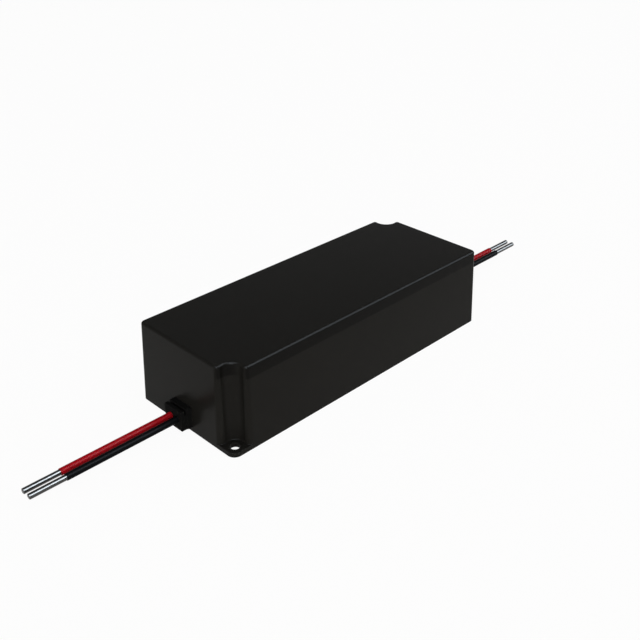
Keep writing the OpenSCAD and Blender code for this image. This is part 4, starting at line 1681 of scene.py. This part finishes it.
class Studio:
    """White floor and backdrop, plain soft light, and the camera, with all places in metres."""

    WHITE = (0.84, 0.825, 0.8)
    FADE = 0.05
    COOL = (0.8, 0.9, 1.0)
    SURROUND = (0.96, 0.98, 1.0)
    SURROUND_POWER = 0.36
    RADIUS = 2.6
    LEVEL = -0.0002
    HEIGHT = 0.7
    SIDES = 96
    EYE = (-0.23869, -0.23921, 0.21378)
    TURN = (60.0, 0.0, -44.94)
    LENS = 49.924

    def build(self) -> None:
        """Makes the camera, the floor, the backdrop, the lamps and the world."""
        self.camera()
        white = self.white()
        floor = self.disc("floor", white)
        wall = self.wall("backdrop", white)
        self.lamp("left_soft", (-1.0, -0.1, 0.4), 2.2, (1.7, 1.7), 3.0, (1.0, 0.99, 0.97))
        self.lamp("key_soft", (0.3, -0.5, 0.8), 2.2, (1.8, 1.8), 15.0, (0.98, 0.99, 1.0))
        self.lamp("near_soft", (-0.7, -0.75, 0.3), 2.4, (1.4, 1.4), 28.0, (1.0, 0.99, 0.97))
        self.panel("right_panel", (1.42, -1.3, 1.22), (58.0, 46.8), (1.6, 1.6), 108.0)
        self.panel("front_panel", (-0.3, -1.2, 1.6), (0.0, 0.0), (2.9, 1.5), 205.0)
        self.panel("left_panel", (-1.2, -0.08, 1.6), (0.0, 0.0), (0.8, 0.8), 60.0)
        self.panel("near_panel", (-1.4, -1.35, 0.95), (65.0, -45.0), (1.2, 1.0), 80.0)
        self.world()

    def camera(self) -> None:
        """The camera, at the photograph's place and angle."""
        data = bpy.data.cameras.new("camera")
        data.sensor_width = 36.0
        data.lens = self.LENS
        made = bpy.data.objects.new("camera", data)
        made.location = self.EYE
        made.rotation_euler = [math.radians(a) for a in self.TURN]
        bpy.context.scene.collection.objects.link(made)
        bpy.context.scene.camera = made

    def white(self) -> bpy.types.Material:
        """Makes a white that camera, gloss and glass see as plain, with a faint shadow left in it.

        Returns:
            The material.
        """
        recipe = Recipe("studio_white")
        rays = recipe.node("ShaderNodeLightPath").outputs
        seen = Wire(recipe, rays["Is Camera Ray"]).most(Wire(recipe, rays["Is Glossy Ray"]))
        seen = seen.most(Wire(recipe, rays["Is Transmission Ray"]))
        plain = recipe.node("ShaderNodeBsdfDiffuse", None, {"Color": self.WHITE})
        glow = recipe.node("ShaderNodeEmission", None, {"Color": (1.0, 1.0, 1.0), "Strength": 1.0})
        mixed = recipe.node("ShaderNodeMixShader", None, {
            0: seen * (1 - self.FADE), 1: plain.outputs[0], 2: glow.outputs[0]})
        behind = recipe.node("ShaderNodeNewGeometry").outputs["Backfacing"]
        clear = recipe.node("ShaderNodeBsdfTransparent")
        shown = recipe.node("ShaderNodeMixShader", None, {
            0: behind, 1: mixed.outputs[0], 2: clear.outputs[0]})
        recipe.node("ShaderNodeOutputMaterial", None, {"Surface": shown.outputs[0]})
        return recipe.material

    def disc(self, name: str, material: bpy.types.Material) -> bpy.types.Object:
        """A flat round floor, just under the object."""
        points = [(x, y, self.LEVEL) for x, y in circle((0, 0), self.RADIUS, self.SIDES)]
        return self.stage_piece(name, points, [list(range(self.SIDES))], material)

    def wall(self, name: str, material: bpy.types.Material) -> bpy.types.Object:
        """A round wall that stands on the floor's edge and faces in.

        Args:
            name: its name.
            material: its finish.

        Returns:
            The wall.
        """
        n = self.SIDES
        points = [(x, y, z) for z in (self.LEVEL, self.HEIGHT) for x, y in circle((0, 0), self.RADIUS, n)]
        faces = [[i, i + n, (i + 1) % n + n, (i + 1) % n] for i in range(n)]
        return self.stage_piece(name, points, faces, material)

    def stage_piece(self, name: str, points: list[Point], faces: list[list[int]],
                    material: bpy.types.Material) -> bpy.types.Object:
        """Makes a stage piece.

        Args:
            name: its name.
            points: its points in metres.
            faces: the points' numbers round each face.
            material: its finish.

        Returns:
            The piece.
        """
        mesh = bpy.data.meshes.new(name)
        mesh.from_pydata(points, [], faces)
        mesh.materials.append(material)
        made = bpy.data.objects.new(name, mesh)
        bpy.context.scene.collection.objects.link(made)
        return made

    def panel(self, name: str, place: Point, turn: Flat, size: Flat, power: float) -> None:
        """A cool panel that shows in gloss alone and draws the edges.

        Args:
            name: its name.
            place: its middle, in metres.
            turn: how far it leans from level, and its turn about the vertical, in degrees.
            size: its level side and its other one, in metres.
            power: its power, in watts.
        """
        made = self.area(name, size, power, self.COOL)
        made.location = place
        made.rotation_euler = (math.radians(turn[0]), 0.0, math.radians(turn[1]))
        made.visible_diffuse = False

    def lamp(self, name: str, direction: Point, distance: float, size: Flat, power: float,
             tint: Colour) -> None:
        """A soft lamp that looks at the object.

        Args:
            name: its name.
            direction: where it stands, seen from the object.
            distance: how far away, in metres.
            size: its level side and its other one, in metres.
            power: its power, in watts.
            tint: its colour.
        """
        made = self.area(name, size, power, tint)
        length = math.hypot(*direction)
        back = tuple(c / length for c in direction)
        made.location = tuple(c * distance for c in back)
        made.rotation_euler = (math.acos(back[2]), 0.0, math.atan2(back[1], back[0]) + math.pi / 2)

    def area(self, name: str, size: Flat, power: float, tint: Colour) -> bpy.types.Object:
        """A rectangular lamp that the camera doesn't see.

        Args:
            name: its name.
            size: its level side and its other one, in metres.
            power: its power, in watts.
            tint: its colour.

        Returns:
            The lamp.
        """
        data = bpy.data.lights.new(name, "AREA")
        data.shape = "RECTANGLE"
        data.size, data.size_y = size
        data.energy = power
        data.color = tint
        made = bpy.data.objects.new(name, data)
        made.visible_camera = False
        bpy.context.scene.collection.objects.link(made)
        return made

    def world(self) -> None:
        """An even, slightly cool surround."""
        world = bpy.data.worlds.new("surround")
        world.use_nodes = True
        bpy.context.scene.world = world
        bench = Bench(world.node_tree)
        world.node_tree.nodes.clear()
        even = bench.node("ShaderNodeBackground", None, {
            "Color": self.SURROUND, "Strength": self.SURROUND_POWER})
        bench.node("ShaderNodeOutputWorld", None, {"Surface": even.outputs[0]})


def main() -> None:
    """Builds the scene piece by piece."""
    logging.basicConfig(level=logging.INFO, format="%(name)s: %(message)s")
    scene = bpy.context.scene
    scene.view_settings.view_transform = "Standard"
    Studio().build()
    dresser = Dresser(FINISHES)
    case, leads, relief = CaseSizes(), LeadSizes(), ReliefSizes()
    strands = StrandGrowth(leads, dresser.materials["tinned_copper"])
    for end in End:
        for polarity in Polarity:
            Lead(end, polarity, leads).build(dresser, strands)
        StrainRelief(end, relief, case, leads).build(dresser)
    Moulding(case, leads, relief).build(dresser)
    CaseRibs(case).build(dresser)
    for node, slot in NODE_FINISHES.items():
        dresser.dress(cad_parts[node], slot)
        LOG.info("%s keeps its CAD shape, finished as %s", node, slot)


if __name__ == "__main__":
    main()
